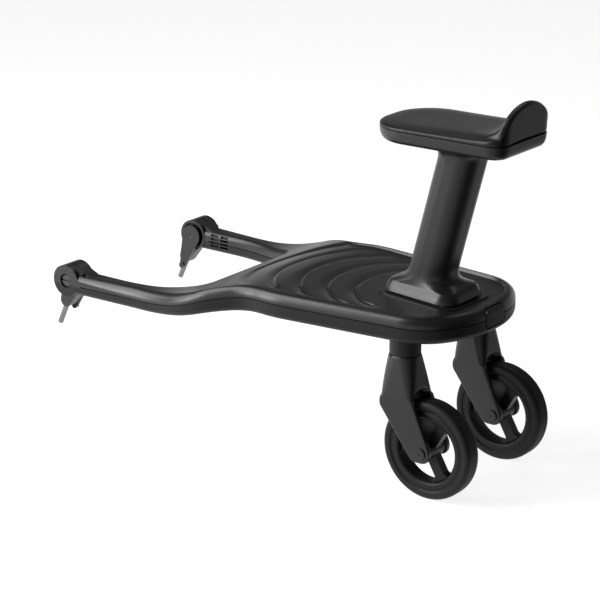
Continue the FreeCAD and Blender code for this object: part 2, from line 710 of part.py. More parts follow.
def release_spring():
    """The latch's return spring: one wire wound on half-turn arcs along X, ends closed flat."""
    start = SEAT_X + CUP_LENGTH / 2 + SLIDE + LATCH_BAR + FACE
    middle_z = LATCH_Z + LATCH_THICKNESS / 2
    pitch = (SPRING_LENGTH - SPRING_WIRE) / SPRING_TURNS

    def at(turn):
        angle = 2 * math.pi * turn
        x = start + SPRING_WIRE / 2 + pitch * turn
        return V(x, SPRING_RADIUS * math.cos(angle), middle_z + SPRING_RADIUS * math.sin(angle))

    quarters = [k / 4 for k in range(4 * SPRING_TURNS)]
    arcs = [Part.Arc(at(q), at(q + 0.125), at(q + 0.25)).toShape() for q in quarters]
    path = Part.Wire(arcs)
    heading = path.Edges[0].tangentAt(path.Edges[0].FirstParameter)
    section = Part.Wire(Part.makeCircle(SPRING_WIRE / 2, at(0), heading))
    print("spring least gap between turns", round(pitch - SPRING_WIRE, 2))
    return path.makePipeShell([section], True, False)


def post_section(z, grow=0.0):
    x = POST_BASE_X - (z - FOOT_Z) * math.tan(math.radians(POST_LEAN_DEG))
    loop = oblong(x, POST_LENGTH / 2 + grow, POST_WIDTH / 2 + grow, POST_CORNER + grow / 2)
    return [loop[3], loop[0], loop[1], loop[2]]


def seat_post():
    skirt_top = FOOT_Z + SKIRT_HEIGHT
    ledge = foot_loop(SKIRT_SLOPE)
    parts = [loft([(foot_loop(0), FOOT_Z), (ledge, skirt_top)], True)]
    waist = post_section(POST_Z)
    flare = [(ledge, skirt_top)]
    for rise, share in ((0.2, 0.5), (0.5, 0.82), (1.0, 1.0)):
        flare.append((blend(ledge, waist, share), skirt_top + rise * FLARE_HEIGHT))
    parts.append(loft(flare, False))
    neck = SADDLE_BASE_Z - POST_TOP_FLARE_HEIGHT
    parts.append(loft([(waist, POST_Z), (post_section(neck), neck)], True))
    top = [(post_section(neck), neck)]
    for rise, share in ((0.5, 0.2), (1.0, 1.0)):
        z = neck + rise * POST_TOP_FLARE_HEIGHT
        top.append((post_section(z, share * POST_TOP_FLARE), z))
    parts.append(loft(top, False))
    spigot = oblong(SEAT_X, SPIGOT_LENGTH / 2, SPIGOT_WIDTH / 2, SPIGOT_CORNER)
    parts.append(level_prism(spigot, SPIGOT_Z + FACE, FOOT_Z))
    body = fuse(parts)
    hollow = [(post_section(z, -POST_WALL), z) for z in (POST_Z, neck)]
    body = body.cut(loft(hollow, True))
    notch = LATCH_TOOTH_WIDTH / 2 + SLIDE
    front = SEAT_X + SPIGOT_LENGTH / 2
    low = LATCH_Z - SLIDE
    high = LATCH_Z + LATCH_THICKNESS + SLIDE
    body = body.cut(box(front - LATCH_BITE - SLIDE, front, -notch, notch, low, high))
    return body.cut(saddle_screw_holes())


def saddle_screw_holes():
    """Holes up through the post's head, entered from its hollow."""
    low = SADDLE_BASE_Z - SCREW_BITE
    reach = POST_TOP_FLARE_HEIGHT - SCREW_BITE + FACE
    holes = [screw_hole(x, y, low, 2 * SCREW_BITE, reach) for x, y in saddle_screw_places()]
    return Part.makeCompound(holes)


def saddle_screw_places():
    x = post_section(SADDLE_BASE_Z - POST_TOP_FLARE_HEIGHT)[0][0] - POST_LENGTH / 2
    along = POST_LENGTH / 2 - POST_WALL - SCREW_HEAD_DIAMETER / 2
    across = POST_WIDTH / 2 - POST_WALL - SCREW_HEAD_DIAMETER / 2
    return [(x + sx * along, sy * across) for sx in (1, -1) for sy in (1, -1)]


def saddle_screws():
    places = saddle_screw_places()
    return Part.makeCompound([screw(x, y, SADDLE_BASE_Z - SCREW_BITE, 2 * SCREW_BITE) for x, y in places])


def saddle_loop(inset):
    half = [
        (SADDLE_FRONT_X, SADDLE_HALF_WIDTH, SADDLE_FRONT_CORNER),
        (-SADDLE_REAR_X, SADDLE_REAR_HALF_WIDTH, SADDLE_REAR_CORNER),
    ]
    return inset_loop(mirrored(half), inset)


def heel_zone(grow):
    """The wedge at the back where the hard shell climbs behind the pad."""
    low = SADDLE_TOP_Z - WALL
    high = SADDLE_TOP_Z + HEEL_HEIGHT + grow
    front = HEEL_LENGTH - SADDLE_REAR_X
    back = -2 * SADDLE_REAR_X
    corners = [(front, low), (front, SADDLE_TOP_Z + grow), (WALL - SADDLE_REAR_X, high)]
    corners += [(back, high), (back, low)]
    return side_polygon(corners, -WIDE, WIDE)


def saddle_shell():
    levels = []
    for rise, tuck in ((0, 1), (0.2, 0.5), (0.5, 0.17), (1, 0)):
        levels.append((saddle_loop(SADDLE_TUCK * tuck), SADDLE_BASE_Z + rise * SADDLE_SHELL_HEIGHT))
    layers = [loft(levels[k:k + 2], True) for k in range(len(levels) - 1)]
    heel = level_prism(saddle_loop(0), SADDLE_TOP_Z, SADDLE_TOP_Z + 2 * HEEL_HEIGHT).common(heel_zone(0))
    return fuse(layers + [heel]).cut(saddle_screw_holes())


def saddle_horn(base):
    """The raised back edge: a side profile with a hollow front, crossed with a round-topped outline."""
    seat = base + PAD_REAR_HEIGHT - PAD_DRAW_IN
    peak = base + HORN_HEIGHT
    rear = PAD_DRAW_IN - SADDLE_REAR_X
    front = rear - HORN_LEAN + HORN_THICKNESS
    side = -SADDLE_HALF_WIDTH
    cut_in = HORN_SWEEP * (1 - math.sqrt(0.5))
    start = V(front + HORN_SWEEP, side, seat)
    bend = V(front + cut_in, side, seat + cut_in)
    end = V(front, side, seat + HORN_SWEEP)
    corners = [end, V(front, side, peak), V(rear - HORN_LEAN, side, peak), V(rear, side, base)]
    corners += [V(start.x, side, base), start]
    edges = [Part.Arc(start, bend, end).toShape()]
    edges += [Part.LineSegment(p, q).toShape() for p, q in zip(corners, corners[1:])]
    profile = Part.Face(Part.Wire(edges)).extrude(V(0, 2 * SADDLE_HALF_WIDTH, 0))
    half = HORN_WIDTH / 2
    back = -2 * SADDLE_REAR_X
    spring_line = peak - HORN_ROUND
    oval = Part.Ellipse(V(back, half, spring_line), V(back, 0, peak), V(back, 0, spring_line))
    dome = Part.ArcOfEllipse(oval, 0, math.pi).toShape()
    foot = [V(back, -half, spring_line), V(back, -half, base)]
    foot += [V(back, half, base), V(back, half, spring_line)]
    edges = [dome] + [Part.LineSegment(p, q).toShape() for p, q in zip(foot, foot[1:])]
    outline = Part.Face(Part.Wire(edges)).extrude(V(2 * SADDLE_REAR_X, 0, 0))
    horn = profile.common(outline)
    rim = []
    for edge in horn.Edges:
        room = edge.BoundBox
        low = room.ZMax < base + FACE
        seam = (room.YLength < FACE or room.XLength < FACE) and room.ZLength < FACE
        toe = room.XMin > start.x - FACE
        if not (low or seam or toe):
            rim.append(edge)
    return horn.makeFillet(HORN_EDGE, rim)


def saddle_pad():
    """Soft top: sides drawn in at the shell, a crowned seat falling to the front, a raised back edge."""
    base = SADDLE_TOP_Z + FACE
    slope = (PAD_REAR_HEIGHT - PAD_FRONT_HEIGHT) / (SADDLE_FRONT_X + SADDLE_REAR_X)
    middle = PAD_FRONT_HEIGHT + slope * SADDLE_FRONT_X
    rounding = ((0.4, 0), (0.7, 0.16), (0.9, 0.45), (1, 1))
    wires = [level_wire(saddle_loop(PAD_DRAW_IN), base)]
    for rise, share in rounding:
        inset = PAD_CROWN * share
        wires.append(level_wire(saddle_loop(inset), base + rise * middle, rise * slope))
    layers = [Part.makeLoft(wires[k:k + 2], True, True) for k in range(len(wires) - 1)]
    return fuse(layers + [saddle_horn(base)]).cut(heel_zone(FACE))


# One caster with its wheel, made for the left side


def wheel_centre(y=0.0):
    return V(0, WHEEL_TRACK / 2 + y, WHEEL_RADIUS)


def wheel_ring(profile):
    """A ring about the axle from a profile of (radius, offset across)."""
    points = [wheel_centre(across) + V(radius, 0, 0) for radius, across in profile]
    return revolved(points, wheel_centre(), V(0, 1, 0))


def tyre():
    seat = RIM_RADIUS + RUN
    half = TYRE_WIDTH / 2
    crown = half - TYRE_SHOULDER
    groove = TREAD_GROOVE
    side = [
        (seat, RIM_WIDTH / 2),
        (seat + 2, half - 1),
        (seat + TYRE_HEIGHT / 3, half),
        (WHEEL_RADIUS - TYRE_SHOULDER / 2, half - TYRE_SHOULDER / 3),
        (WHEEL_RADIUS - TYRE_SHOULDER / 8, crown + TYRE_SHOULDER / 4),
        (WHEEL_RADIUS, crown),
        (WHEEL_RADIUS, crown - groove),
        (WHEEL_RADIUS - groove, crown - 1.5 * groove),
        (WHEEL_RADIUS, crown - 2 * groove),
    ]
    return wheel_ring(side + [(r, -w) for r, w in reversed(side)])


def spoke(turn):
    """One arm of the wheel, flared and rounded where it meets the rim."""
    half = SPOKE_WIDTH / 2
    inner = WHEEL_HUB_DIAMETER / 4
    outer = RIM_RADIUS - RIM_DEPTH
    flare = half + SPOKE_FLARE
    loop = [
        (inner, half, 1.0),
        (inner, -half, 1.0),
        (outer - 2 * SPOKE_FLARE, -half, 6.0),
        (outer - SPOKE_FLARE / 2, -flare, 3.0),
        (outer + RIM_DEPTH / 4, -flare, 1.0),
        (outer + RIM_DEPTH / 4, flare, 1.0),
        (outer - SPOKE_FLARE / 2, flare, 3.0),
        (outer - 2 * SPOKE_FLARE, half, 6.0),
    ]
    plate = side_prism(loop, -SPOKE_THICKNESS / 2, SPOKE_THICKNESS / 2)
    plate.rotate(V(0, 0, 0), V(0, 1, 0), -turn)
    plate.translate(wheel_centre())
    return plate


def wheel_rim():
    half = RIM_WIDTH / 2
    inner = RIM_RADIUS - RIM_DEPTH
    side = [
        (RIM_RADIUS, half),
        (RIM_RADIUS - RIM_DEPTH / 4, half),
        (RIM_RADIUS - RIM_DEPTH / 2, half - RIM_HOLLOW),
        (inner + RIM_DEPTH / 5, half - RIM_HOLLOW),
        (inner, half - RIM_HOLLOW / 2),
    ]
    parts = [wheel_ring(side + [(r, -w) for r, w in reversed(side)])]
    half_hub = WHEEL_HUB_WIDTH / 2
    parts.append(cylinder(WHEEL_HUB_DIAMETER / 2, wheel_centre(-half_hub), wheel_centre(half_hub)))
    parts += [spoke(360.0 * k / SPOKE_COUNT) for k in range(SPOKE_COUNT)]
    bore = AXLE_DIAMETER / 2 + BUSH_WALL + PRESS
    return fuse(parts).cut(cylinder(bore, wheel_centre(-half_hub), wheel_centre(half_hub)))


def wheel_bushes():
    """Two flanged sleeves pressed into the hub from either end."""
    half = WHEEL_HUB_WIDTH / 2
    outside = half + BUSH_FLANGE
    bore = AXLE_DIAMETER / 2 + RUN
    sleeve = AXLE_DIAMETER / 2 + BUSH_WALL
    pair = []
    for s in (1, -1):
        body = cylinder(sleeve, wheel_centre(s * half / 3), wheel_centre(s * half))
        flange = cylinder(sleeve + BUSH_WALL, wheel_centre(s * half), wheel_centre(s * outside))
        hole = cylinder(bore, wheel_centre(s * half / 3), wheel_centre(s * outside))
        pair.append(fuse([body, flange]).cut(hole))
    return Part.makeCompound(pair)


def axle():
    return cylinder(AXLE_DIAMETER / 2, wheel_centre(-LEG_OUTER), wheel_centre(LEG_OUTER))


def axle_caps():
    caps = []
    for s in (1, -1):
        face = s * (LEG_OUTER + CAP_THICKNESS)
        cap = cylinder(CAP_DIAMETER / 2, wheel_centre(s * LEG_OUTER), wheel_centre(face))
        dimple = cylinder(CAP_DIMPLE / 2, wheel_centre(face - s * CAP_THICKNESS / 2), wheel_centre(face))
        caps.append(cap.cut(dimple))
    return Part.makeCompound(caps)


def fork():
    """Round neck that swells into a crown over the wheel, and two legs swept back to the axle."""
    y = WHEEL_TRACK / 2
    radius = COLLAR_DIAMETER / 2
    crown_z = WHEEL_DIAMETER
    middle = SWIVEL_Z - CROWN_HEIGHT / 2
    neck = oblong(TRAIL, radius, radius, radius - 1)
    swell = oblong(TRAIL - 1, radius + 3, radius + 3, radius - 6)
    crown = oblong(TRAIL - 3, FORK_SHOULDER, LEG_OUTER, FORK_EDGE + 4)
    body = loft([(neck, SWIVEL_Z), (swell, middle), (crown, crown_z)], False)
    front = TRAIL - 3 + FORK_SHOULDER
    rear = TRAIL - 3 - FORK_SHOULDER
    knee = crown_z - TYRE_CLEARANCE - LEG_END_RADIUS / 2
    leg = [
        (rear, crown_z, 0.5),
        (front, crown_z, 0.5),
        (front + 2, knee, LEG_END_RADIUS),
        (LEG_END_RADIUS, WHEEL_RADIUS - LEG_END_RADIUS, LEG_END_RADIUS - 2),
        (-LEG_END_RADIUS, WHEEL_RADIUS - LEG_END_RADIUS, LEG_END_RADIUS - 2),
        (-LEG_END_RADIUS, WHEEL_RADIUS + LEG_END_RADIUS / 3, LEG_END_RADIUS),
    ]
    legs = side_prism(leg, -LEG_OUTER, LEG_OUTER)
    body = fuse([body, legs])
    body.translate(V(0, y, 0))
    tunnel = cylinder(WHEEL_RADIUS + TYRE_CLEARANCE, wheel_centre(-LEG_INNER), wheel_centre(LEG_INNER))
    arch_top = crown_z + TYRE_CLEARANCE + ARCH_RISE
    arch = oblong(WHEEL_RADIUS, arch_top - WHEEL_RADIUS, LEG_INNER, LEG_INNER * 0.8)
    wire = Part.Wire(rounded_edges(arch, lambda p: V(-WHEEL_RADIUS, y + p.y, p.x)))
    behind = Part.Face(wire).extrude(V(WHEEL_RADIUS + TRAIL - STEM_DIAMETER, 0, 0))
    axle_hole = cylinder(AXLE_DIAMETER / 2 + PRESS, wheel_centre(-LEG_OUTER), wheel_centre(LEG_OUTER))
    stem_hole = cylinder(STEM_DIAMETER / 2 + PRESS, V(TRAIL, y, stem_base()), V(TRAIL, y, SWIVEL_Z))
    for space in (tunnel, behind, axle_hole, stem_hole):
        body = body.cut(space)
    return body


def stem_base():
    return SWIVEL_Z - CROWN_HEIGHT * 0.7


def stem():
    y = WHEEL_TRACK / 2
    top = collar_top() + STEM_DIAMETER / 3
    return cylinder(STEM_DIAMETER / 2, V(TRAIL, y, stem_base()), V(TRAIL, y, top))


def stem_clip():
    y = WHEEL_TRACK / 2
    low = collar_top() + FACE
    outer = STEM_DIAMETER / 2 + 2 * BUSH_WALL
    return ring(outer, STEM_DIAMETER / 2 + PRESS, V(TRAIL, y, low), V(TRAIL, y, low + BUSH_FLANGE))


def swivel_washer():
    y = WHEEL_TRACK / 2
    outer = COLLAR_DIAMETER / 2 - 1
    return ring(outer, STEM_DIAMETER / 2 + RUN, V(TRAIL, y, SWIVEL_Z + FACE), V(TRAIL, y, COLLAR_Z))


def swivel_bushes():
    y = WHEEL_TRACK / 2
    outer = STEM_DIAMETER / 2 + BUSH_WALL
    inner = STEM_DIAMETER / 2 + RUN
    pair = []
    for low in (COLLAR_Z, collar_top() - SWIVEL_BUSH):
        pair.append(ring(outer, inner, V(TRAIL, y, low), V(TRAIL, y, low + SWIVEL_BUSH)))
    return Part.makeCompound(pair)


# One coupling, made for the left side


def hub_at(y, along=0.0, lean_deg=0.0):
    """A point on the pivot's line, or below it along a direction that leans forward."""
    lean = math.radians(lean_deg)
    return V(HUB_X + along * math.sin(lean), y, HUB_Z - along * math.cos(lean))


def pin_y():
    return (DRUM_INNER_Y + DRUM_OUTER_Y) / 2 + PIN_OUT


def pin_shoulder():
    return NOSE_LENGTH + NOSE_END_RADIUS + FACE


def coupling_drum():
    """The turning drum in the arm's end, with the nose that holds the steel pin."""
    radius = DRUM_DIAMETER / 2
    drum = cylinder(radius, hub_at(DRUM_INNER_Y), hub_at(DRUM_OUTER_Y))
    tip = hub_at(0, NOSE_LENGTH, PIN_LEAN_DEG)
    nose = tapered_plate(
        HUB_X, HUB_Z, NOSE_ROOT_RADIUS, tip.x, tip.z, NOSE_END_RADIUS, DRUM_INNER_Y + 1, DRUM_OUTER_Y - 1
    )
    body = fuse([drum, nose])
    inner = NUT_DIAMETER / 2 + DRUM_RING
    hollow = cylinder(radius - DRUM_RING, hub_at(DRUM_INNER_Y), hub_at(DRUM_INNER_Y + DRUM_HOLLOW_DEPTH))
    boss = cylinder(inner, hub_at(DRUM_INNER_Y), hub_at(DRUM_INNER_Y + DRUM_HOLLOW_DEPTH))
    body = body.cut(hollow.cut(boss))
    seat = DRUM_INNER_Y + NUT_HEIGHT + SLIDE
    body = body.cut(cylinder(NUT_DIAMETER / 2 + SLIDE, hub_at(DRUM_INNER_Y), hub_at(seat)))
    body = body.cut(cylinder(PIVOT_DIAMETER / 2 + RUN, hub_at(DRUM_INNER_Y), hub_at(DRUM_OUTER_Y)))
    start = hub_at(pin_y(), PIN_ROOT, PIN_LEAN_DEG)
    end = hub_at(pin_y(), PIN_REACH, PIN_LEAN_DEG)
    return body.cut(cylinder(PIN_ROOT_DIAMETER / 2 + PRESS, start, end))


def coupling_pin():
    """Steel pin: a thin root held in the nose, a shoulder against it, and the free end with a chamfer."""
    start = hub_at(pin_y(), PIN_ROOT, PIN_LEAN_DEG)
    shoulder = hub_at(pin_y(), pin_shoulder(), PIN_LEAN_DEG)
    end = hub_at(pin_y(), PIN_REACH, PIN_LEAN_DEG)
    pin = cylinder(PIN_DIAMETER / 2, shoulder, end)
    rim = [e for e in pin.Edges if e.Closed and (e.CenterOfMass - end).Length < 1e-3]
    return fuse([pin.makeChamfer(PIN_TIP_CHAMFER, rim), cylinder(PIN_ROOT_DIAMETER / 2, start, shoulder)])


def pivot_bolt():
    """Shoulder bolt: head in the hub's recess, shank through hub and drum, thin end for nut and lever."""
    head_y = HUB_FACE_Y - HUB_RECESS_DEPTH
    nut_y = DRUM_INNER_Y + NUT_HEIGHT
    end_y = LEVER_OUTER_Y - LEVER_THICKNESS / 2
    head = cylinder(HUB_RECESS_DIAMETER / 2 - 2, hub_at(head_y), hub_at(head_y + PIVOT_HEAD_HEIGHT))
    shank = cylinder(PIVOT_DIAMETER / 2, hub_at(nut_y), hub_at(head_y))
    end = cylinder(PIVOT_END_DIAMETER / 2, hub_at(end_y), hub_at(nut_y))
    slot = box(HUB_X - HUB_RECESS_DIAMETER, HUB_X + HUB_RECESS_DIAMETER, head_y + PIVOT_HEAD_HEIGHT / 2,
               HUB_FACE_Y, HUB_Z - 1.2, HUB_Z + 1.2)
    return fuse([head, shank, end]).cut(slot)


def pivot_nut():
    inner = PIVOT_END_DIAMETER / 2 + PRESS
    return ring(NUT_DIAMETER / 2, inner, hub_at(DRUM_INNER_Y + FACE), hub_at(DRUM_INNER_Y + NUT_HEIGHT))


def release_lever():
    """Teardrop plate on the coupling's inner face, with a thumb dimple and a thick rounded tip."""
    tip = hub_at(0, LEVER_LENGTH, LEVER_LEAN_DEG)
    inner = LEVER_OUTER_Y - LEVER_THICKNESS
    plate = tapered_plate(
        HUB_X, HUB_Z, LEVER_HEAD_RADIUS, tip.x, tip.z, LEVER_TIP_RADIUS, inner, LEVER_OUTER_Y
    )
    nub = cylinder(LEVER_TIP_RADIUS, V(tip.x, inner - 2, tip.z), V(tip.x, inner, tip.z))
    body = fuse([plate, nub])
    bore = cylinder(PIVOT_END_DIAMETER / 2 + RUN, hub_at(LEVER_OUTER_Y - LEVER_THICKNESS / 2 - SLIDE),
                    hub_at(LEVER_OUTER_Y))
    ball = LEVER_DIMPLE_RADIUS
    dimple = Part.makeSphere(ball, hub_at(inner - ball + LEVER_DIMPLE_DEPTH))
    return body.cut(bore).cut(dimple)


def build():
    upper, lower, button = shells()
    nodes = {
        "deck_upper_shell": upper,
        "deck_lower_shell": lower,
        "shell_screws": shell_screws(),
        "seat_receiver": seat_receiver(),
        "receiver_screws": receiver_screws(),
        "release_button": button,
        "release_latch": release_latch(),
        "release_spring": release_spring(),
        "seat_post": seat_post(),
        "saddle_shell": saddle_shell(),
        "saddle_screws": saddle_screws(),
        "saddle_pad": saddle_pad(),
    }
    pair = {
        "fork": fork(),
        "swivel_stem": stem(),
        "stem_clip": stem_clip(),
        "swivel_washer": swivel_washer(),
        "swivel_bushes": swivel_bushes(),
        "axle": axle(),
        "axle_caps": axle_caps(),
        "wheel_rim": wheel_rim(),
        "tyre": tyre(),
        "wheel_bushes": wheel_bushes(),
        "coupling_drum": coupling_drum(),
        "coupling_pin": coupling_pin(),
        "pivot_bolt": pivot_bolt(),
        "pivot_nut": pivot_nut(),
        "release_lever": release_lever(),
    }
    for name, shape in pair.items():
        nodes["left_" + name] = shape
        nodes["right_" + name] = shape.mirror(V(0, 0, 0), V(0, 1, 0))
    return nodes


def main():
    nodes = build()
    whole = Part.makeCompound(list(nodes.values())).optimalBoundingBox(False, False)
    shift = V(-(whole.XMin + whole.XMax) / 2, 0, 0)
    os.makedirs("parts", exist_ok=True)
    for name, shape in nodes.items():
        moved = shape.copy()
        moved.translate(shift)
        moved.exportStep("parts/" + name + ".step")
        print(name, "solids", len(moved.Solids), "valid", moved.isValid(), "volume", round(moved.Volume))
    print("shift", round(shift.x, 4), "length", round(whole.XLength, 2), "width", round(whole.YLength, 2),
          "height", round(whole.ZMax, 2), "lowest", round(whole.ZMin, 3))


main()
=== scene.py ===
import json
import math

import bmesh
import bpy
import numpy as np
from mathutils import Matrix, Vector


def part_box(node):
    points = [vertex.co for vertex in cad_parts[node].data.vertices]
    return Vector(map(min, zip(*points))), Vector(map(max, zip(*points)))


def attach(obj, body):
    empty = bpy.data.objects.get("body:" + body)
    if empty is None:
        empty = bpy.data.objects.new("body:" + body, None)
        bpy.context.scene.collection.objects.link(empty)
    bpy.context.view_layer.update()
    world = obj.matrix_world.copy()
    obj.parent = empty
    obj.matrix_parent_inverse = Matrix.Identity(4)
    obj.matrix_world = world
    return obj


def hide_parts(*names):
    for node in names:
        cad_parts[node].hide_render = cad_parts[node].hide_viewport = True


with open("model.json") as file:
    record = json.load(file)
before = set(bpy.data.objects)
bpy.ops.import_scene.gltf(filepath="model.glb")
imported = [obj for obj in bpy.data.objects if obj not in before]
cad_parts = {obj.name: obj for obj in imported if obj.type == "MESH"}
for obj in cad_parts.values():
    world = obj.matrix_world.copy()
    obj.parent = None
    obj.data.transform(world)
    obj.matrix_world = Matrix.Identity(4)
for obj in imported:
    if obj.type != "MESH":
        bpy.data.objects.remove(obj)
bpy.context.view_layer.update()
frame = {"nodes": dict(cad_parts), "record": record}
record = frame["record"]
nodes = frame["nodes"]

MM = 0.001

# A hair's gap between faces that touch, the join distance of loose points, a number that stands in for
# nought in a division, and angles that stay sharp
HAIR = 0.1 * MM
JOIN_DISTANCE = 2e-6
TINY = 1e-12
BROAD_ANGLE = 0.7
FINE_ANGLE = 0.6
CAD_ANGLE = math.radians(24)

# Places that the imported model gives: the axle line, the pad's seat and the post's two ends
AXLE_X = sum(c.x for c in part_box("left_tyre")) / 2
WHEEL_Y = sum(c.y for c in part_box("left_tyre")) / 2
WHEEL_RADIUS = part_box("left_tyre")[1].z / 2
POST_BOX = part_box("seat_post")
SHELL_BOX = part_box("saddle_shell")
SPIGOT_DEPTH = 20.0 * MM
FOOT_Z = POST_BOX[0].z + SPIGOT_DEPTH - HAIR
SADDLE_Z = POST_BOX[1].z

# Saddle outline, pad and raised back edge
SADDLE_FRONT = 133.0 * MM
SADDLE_REAR = 82.0 * MM
SADDLE_HALF_WIDTH = 68.0 * MM
SADDLE_REAR_HALF_WIDTH = 65.0 * MM
SADDLE_FRONT_CORNER = 57.0 * MM
SADDLE_REAR_CORNER = 24.0 * MM
SHELL_HEIGHT = 19.0 * MM
SHELL_TUCK = 11.0 * MM
SHELL_ROUND_POWER = 2.6
SHELL_ROWS = 16
PAD_REAR_HEIGHT = 12.5 * MM
PAD_FRONT_HEIGHT = 4.6 * MM
PAD_THINNING = 1.7
PAD_ROUNDING = 26.0 * MM
PAD_ROUND_POWER = 1.6
PAD_SIDE = 0.3
PAD_FOOT_TUCK = 2.0 * MM
PAD_TUCK_SHARE = 0.5
PAD_SPINE_INSET = 40.0 * MM
PAD_UNDER_ROWS = 9
PAD_SIDE_ROWS = 9
PAD_TOP_ROWS = 46
PAD_ROW_CROWDING = 1.6
HORN_HEIGHT = 51.0 * MM
HORN_HALF_WIDTH = 57.0 * MM
HORN_ROUND = 43.0 * MM
HORN_THICKNESS = 9.0 * MM
HORN_SWEEP = 45.0 * MM
HORN_SWEEP_POWER = 2.3
HORN_VALLEY = 15.0 * MM
HORN_LEAN = 4.0 * MM
HORN_EDGE = 6.0 * MM

# Seat post
FOOT_FRONT = 128.0 * MM
FOOT_REAR = 1.0 * MM
FOOT_FRONT_HALF_WIDTH = 31.0 * MM
FOOT_REAR_HALF_WIDTH = 50.0 * MM
FOOT_CORNER = 24.0 * MM
SKIRT_HEIGHT = 13.0 * MM
SKIRT_SLOPE = 7.0 * MM
SKIRT_CURVE = 1.5
SKIRT_ROWS = 5
FLARE_HEIGHT = 36.0 * MM
FLARE_CORNER = 10.0 * MM
FLARE_POWER = 3.2
FLARE_ROWS = 26
POST_HALF_LENGTH = 31.5 * MM
POST_HALF_WIDTH = 31.0 * MM
POST_CORNER = 25.0 * MM
POST_BASE_X = 68.4 * MM
POST_LEAN = math.tan(math.radians(14.8))
COLUMN_ROWS = 22
HEAD_FLARE = 12.0 * MM
HEAD_FLARE_HEIGHT = 24.0 * MM
HEAD_FLARE_POWER = 3
HEAD_ROWS = 14

# Deck outline, side profile and parting line, with X ahead of the axles as for all the sizes above
DECK_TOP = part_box("deck_upper_shell")[1].z
DECK_REAR = 42.0 * MM
REAR_HALF_WIDTH = 44.0 * MM
CORNER_X = -3.0 * MM
CORNER_HALF_WIDTH = 116.0 * MM
WIDE_X = 235.0 * MM
DECK_HALF_WIDTH = 142.0 * MM
WAIST_X = 283.0 * MM
WAIST_HALF_WIDTH = 136.0 * MM
BOW_X = 365.0 * MM
BOW_HALF_WIDTH = 165.0 * MM
ARM_SET_X = 440.0 * MM
ARM_OUTER_Y = 157.0 * MM
ARM_INNER_Y = 127.0 * MM
ARM_INNER_SET_X = 470.0 * MM
ARM_END_X = 593.0 * MM
OPENING_X = 381.0 * MM
OPENING_HALF_WIDTH = 97.0 * MM
OPENING_ROUND = 0.17
BEND_ROUND = 0.45
CORNER_ROUND = 0.5
END_ROUND = 0.01
RAMP_START = 248.0 * MM
RAMP_LENGTH = 212.0 * MM
ARM_DROP = 37.0 * MM
PARTING_DEPTH = 16.0 * MM
GROOVE_HEIGHT = 1.4 * MM
GROOVE_DEPTH = 2.4 * MM
GROOVE_SINK = 0.05 * MM
GROOVE_END_X = 566.0 * MM
SPREAD_X = 470.0 * MM
SPREAD_POWER = 3
HUB_PROUD = 4.9 * MM

# Broad round edge of the deck's cover, and how far cutting forms stand clear of what they cut
BAND_WIDTH = 13.0 * MM
BAND_HEIGHT = 14.5 * MM
BAND_FADE_X = 480.0 * MM
BAND_CORNER = 8.0 * MM
BAND_STEPS = 12
BAND_CLEAR = 4.0 * MM
SIDE_CLEAR = 3.0 * MM
BED_CLEAR = 6.0 * MM

# Tread well, its crescent hollows, the button's gap and the arms' vent slots
TREAD_COLUMNS = 600
TREAD_ROWS = 148
TREAD_ROW_CROWDING = 1.15
TREAD_INSET = 13.0 * MM
BUTTON_LAND = 19.5 * MM
TREAD_BED = 6.6 * MM
TREAD_MIDDLE = 100.0 * MM
TREAD_WALL = 3.5 * MM
FLOOR_FRONT = 1.5 * MM
FLOOR_REAR = 4.5 * MM
FLOOR_REAR_X = 110.0 * MM
HOLLOW_COUNT = 5
HOLLOW_FRONT_X = 344.0 * MM
HOLLOW_RADIUS = 152.0 * MM
HOLLOW_PITCH = 43.0 * MM
HOLLOW_RADIUS_STEP = 16.5 * MM
HOLLOW_LENGTH = 17.0 * MM
HOLLOW_STEP = 3.6 * MM
HOLLOW_DEPTH = 2.8 * MM
HOLLOW_END_INSET = 12.0 * MM
HOLLOW_END_FADE = 9.0 * MM
HOLLOW_SIDE_FADE = 20.0 * MM
BUTTON_GAP = 1.8 * MM
BUTTON_GAP_DEPTH = 10.0 * MM
BUTTON_CORNER = 6.0 * MM
VENT_ROWS = 4
VENT_COLUMNS = 2
VENT_LENGTH = 15.0 * MM
VENT_HEIGHT = 3.2 * MM
VENT_PITCH = 5.4 * MM
VENT_GAP = 4.0 * MM
VENT_BEHIND = 35.5 * MM
VENT_LOW = 198.25 * MM
VENT_DEPTH = 4.0 * MM

# Tyre with its fine grooves and inner edge, rim ring, and the facets of the softened forks
TYRE_HALF_WIDTH = 14.0 * MM
TYRE_CROWN = 6.5 * MM
TYRE_STEPS = 160
SHOULDER_STEPS = 10
SHOULDER_DROP = 0.9
FINE_GROOVE_Y = 2.8 * MM
FINE_GROOVE_BED = 0.2 * MM
FINE_GROOVE_LIP = 0.6 * MM
FINE_GROOVE_DEPTH = 0.9 * MM
TYRE_FLAT = 4.2 * MM
BEAD_ACROSS = np.array([13.6, 12.4, 11.5]) * MM
BEAD_DROP = np.array([10.6, 12.0, 12.95]) * MM
RIM_RADIUS = 51.0 * MM
RIM_HALF_DEPTH = 6.5 * MM
RIM_HALF_WIDTH = 12.6 * MM
RIM_POWER = 3
RIM_STEPS = 128
RIM_SECTION_STEPS = 40
FORK_FACET = 1.1 * MM
FORK_RELAX = 0.5
FORK_RELAX_PASSES = 22

# Finishes: tones of the grain, what rubbing does, the painted shade of the pad's pebbles, and the depth of
# grain and pebbles
GRAIN_DARK = 0.8
GRAIN_LIGHT = 1.2
GRAIN_DEPTH = 0.2 * MM
RUBBED_LIFT = 0.03
RUBBED_GAIN = 1.6
RUBBED_METAL = 0.7
RUBBED_DULL = 0.25
# Painted shade on the pad's pebbles: the valleys' tone and the tops' tone, as shares of the skin's colour
PEBBLE_VALLEY_SHADE = 0.6
PEBBLE_TOP_LIGHT = 1.1
PEBBLE_DEPTH = 0.4 * MM
PEBBLE_BUMP = 0.35
PEBBLE_GRAIN = 0.25

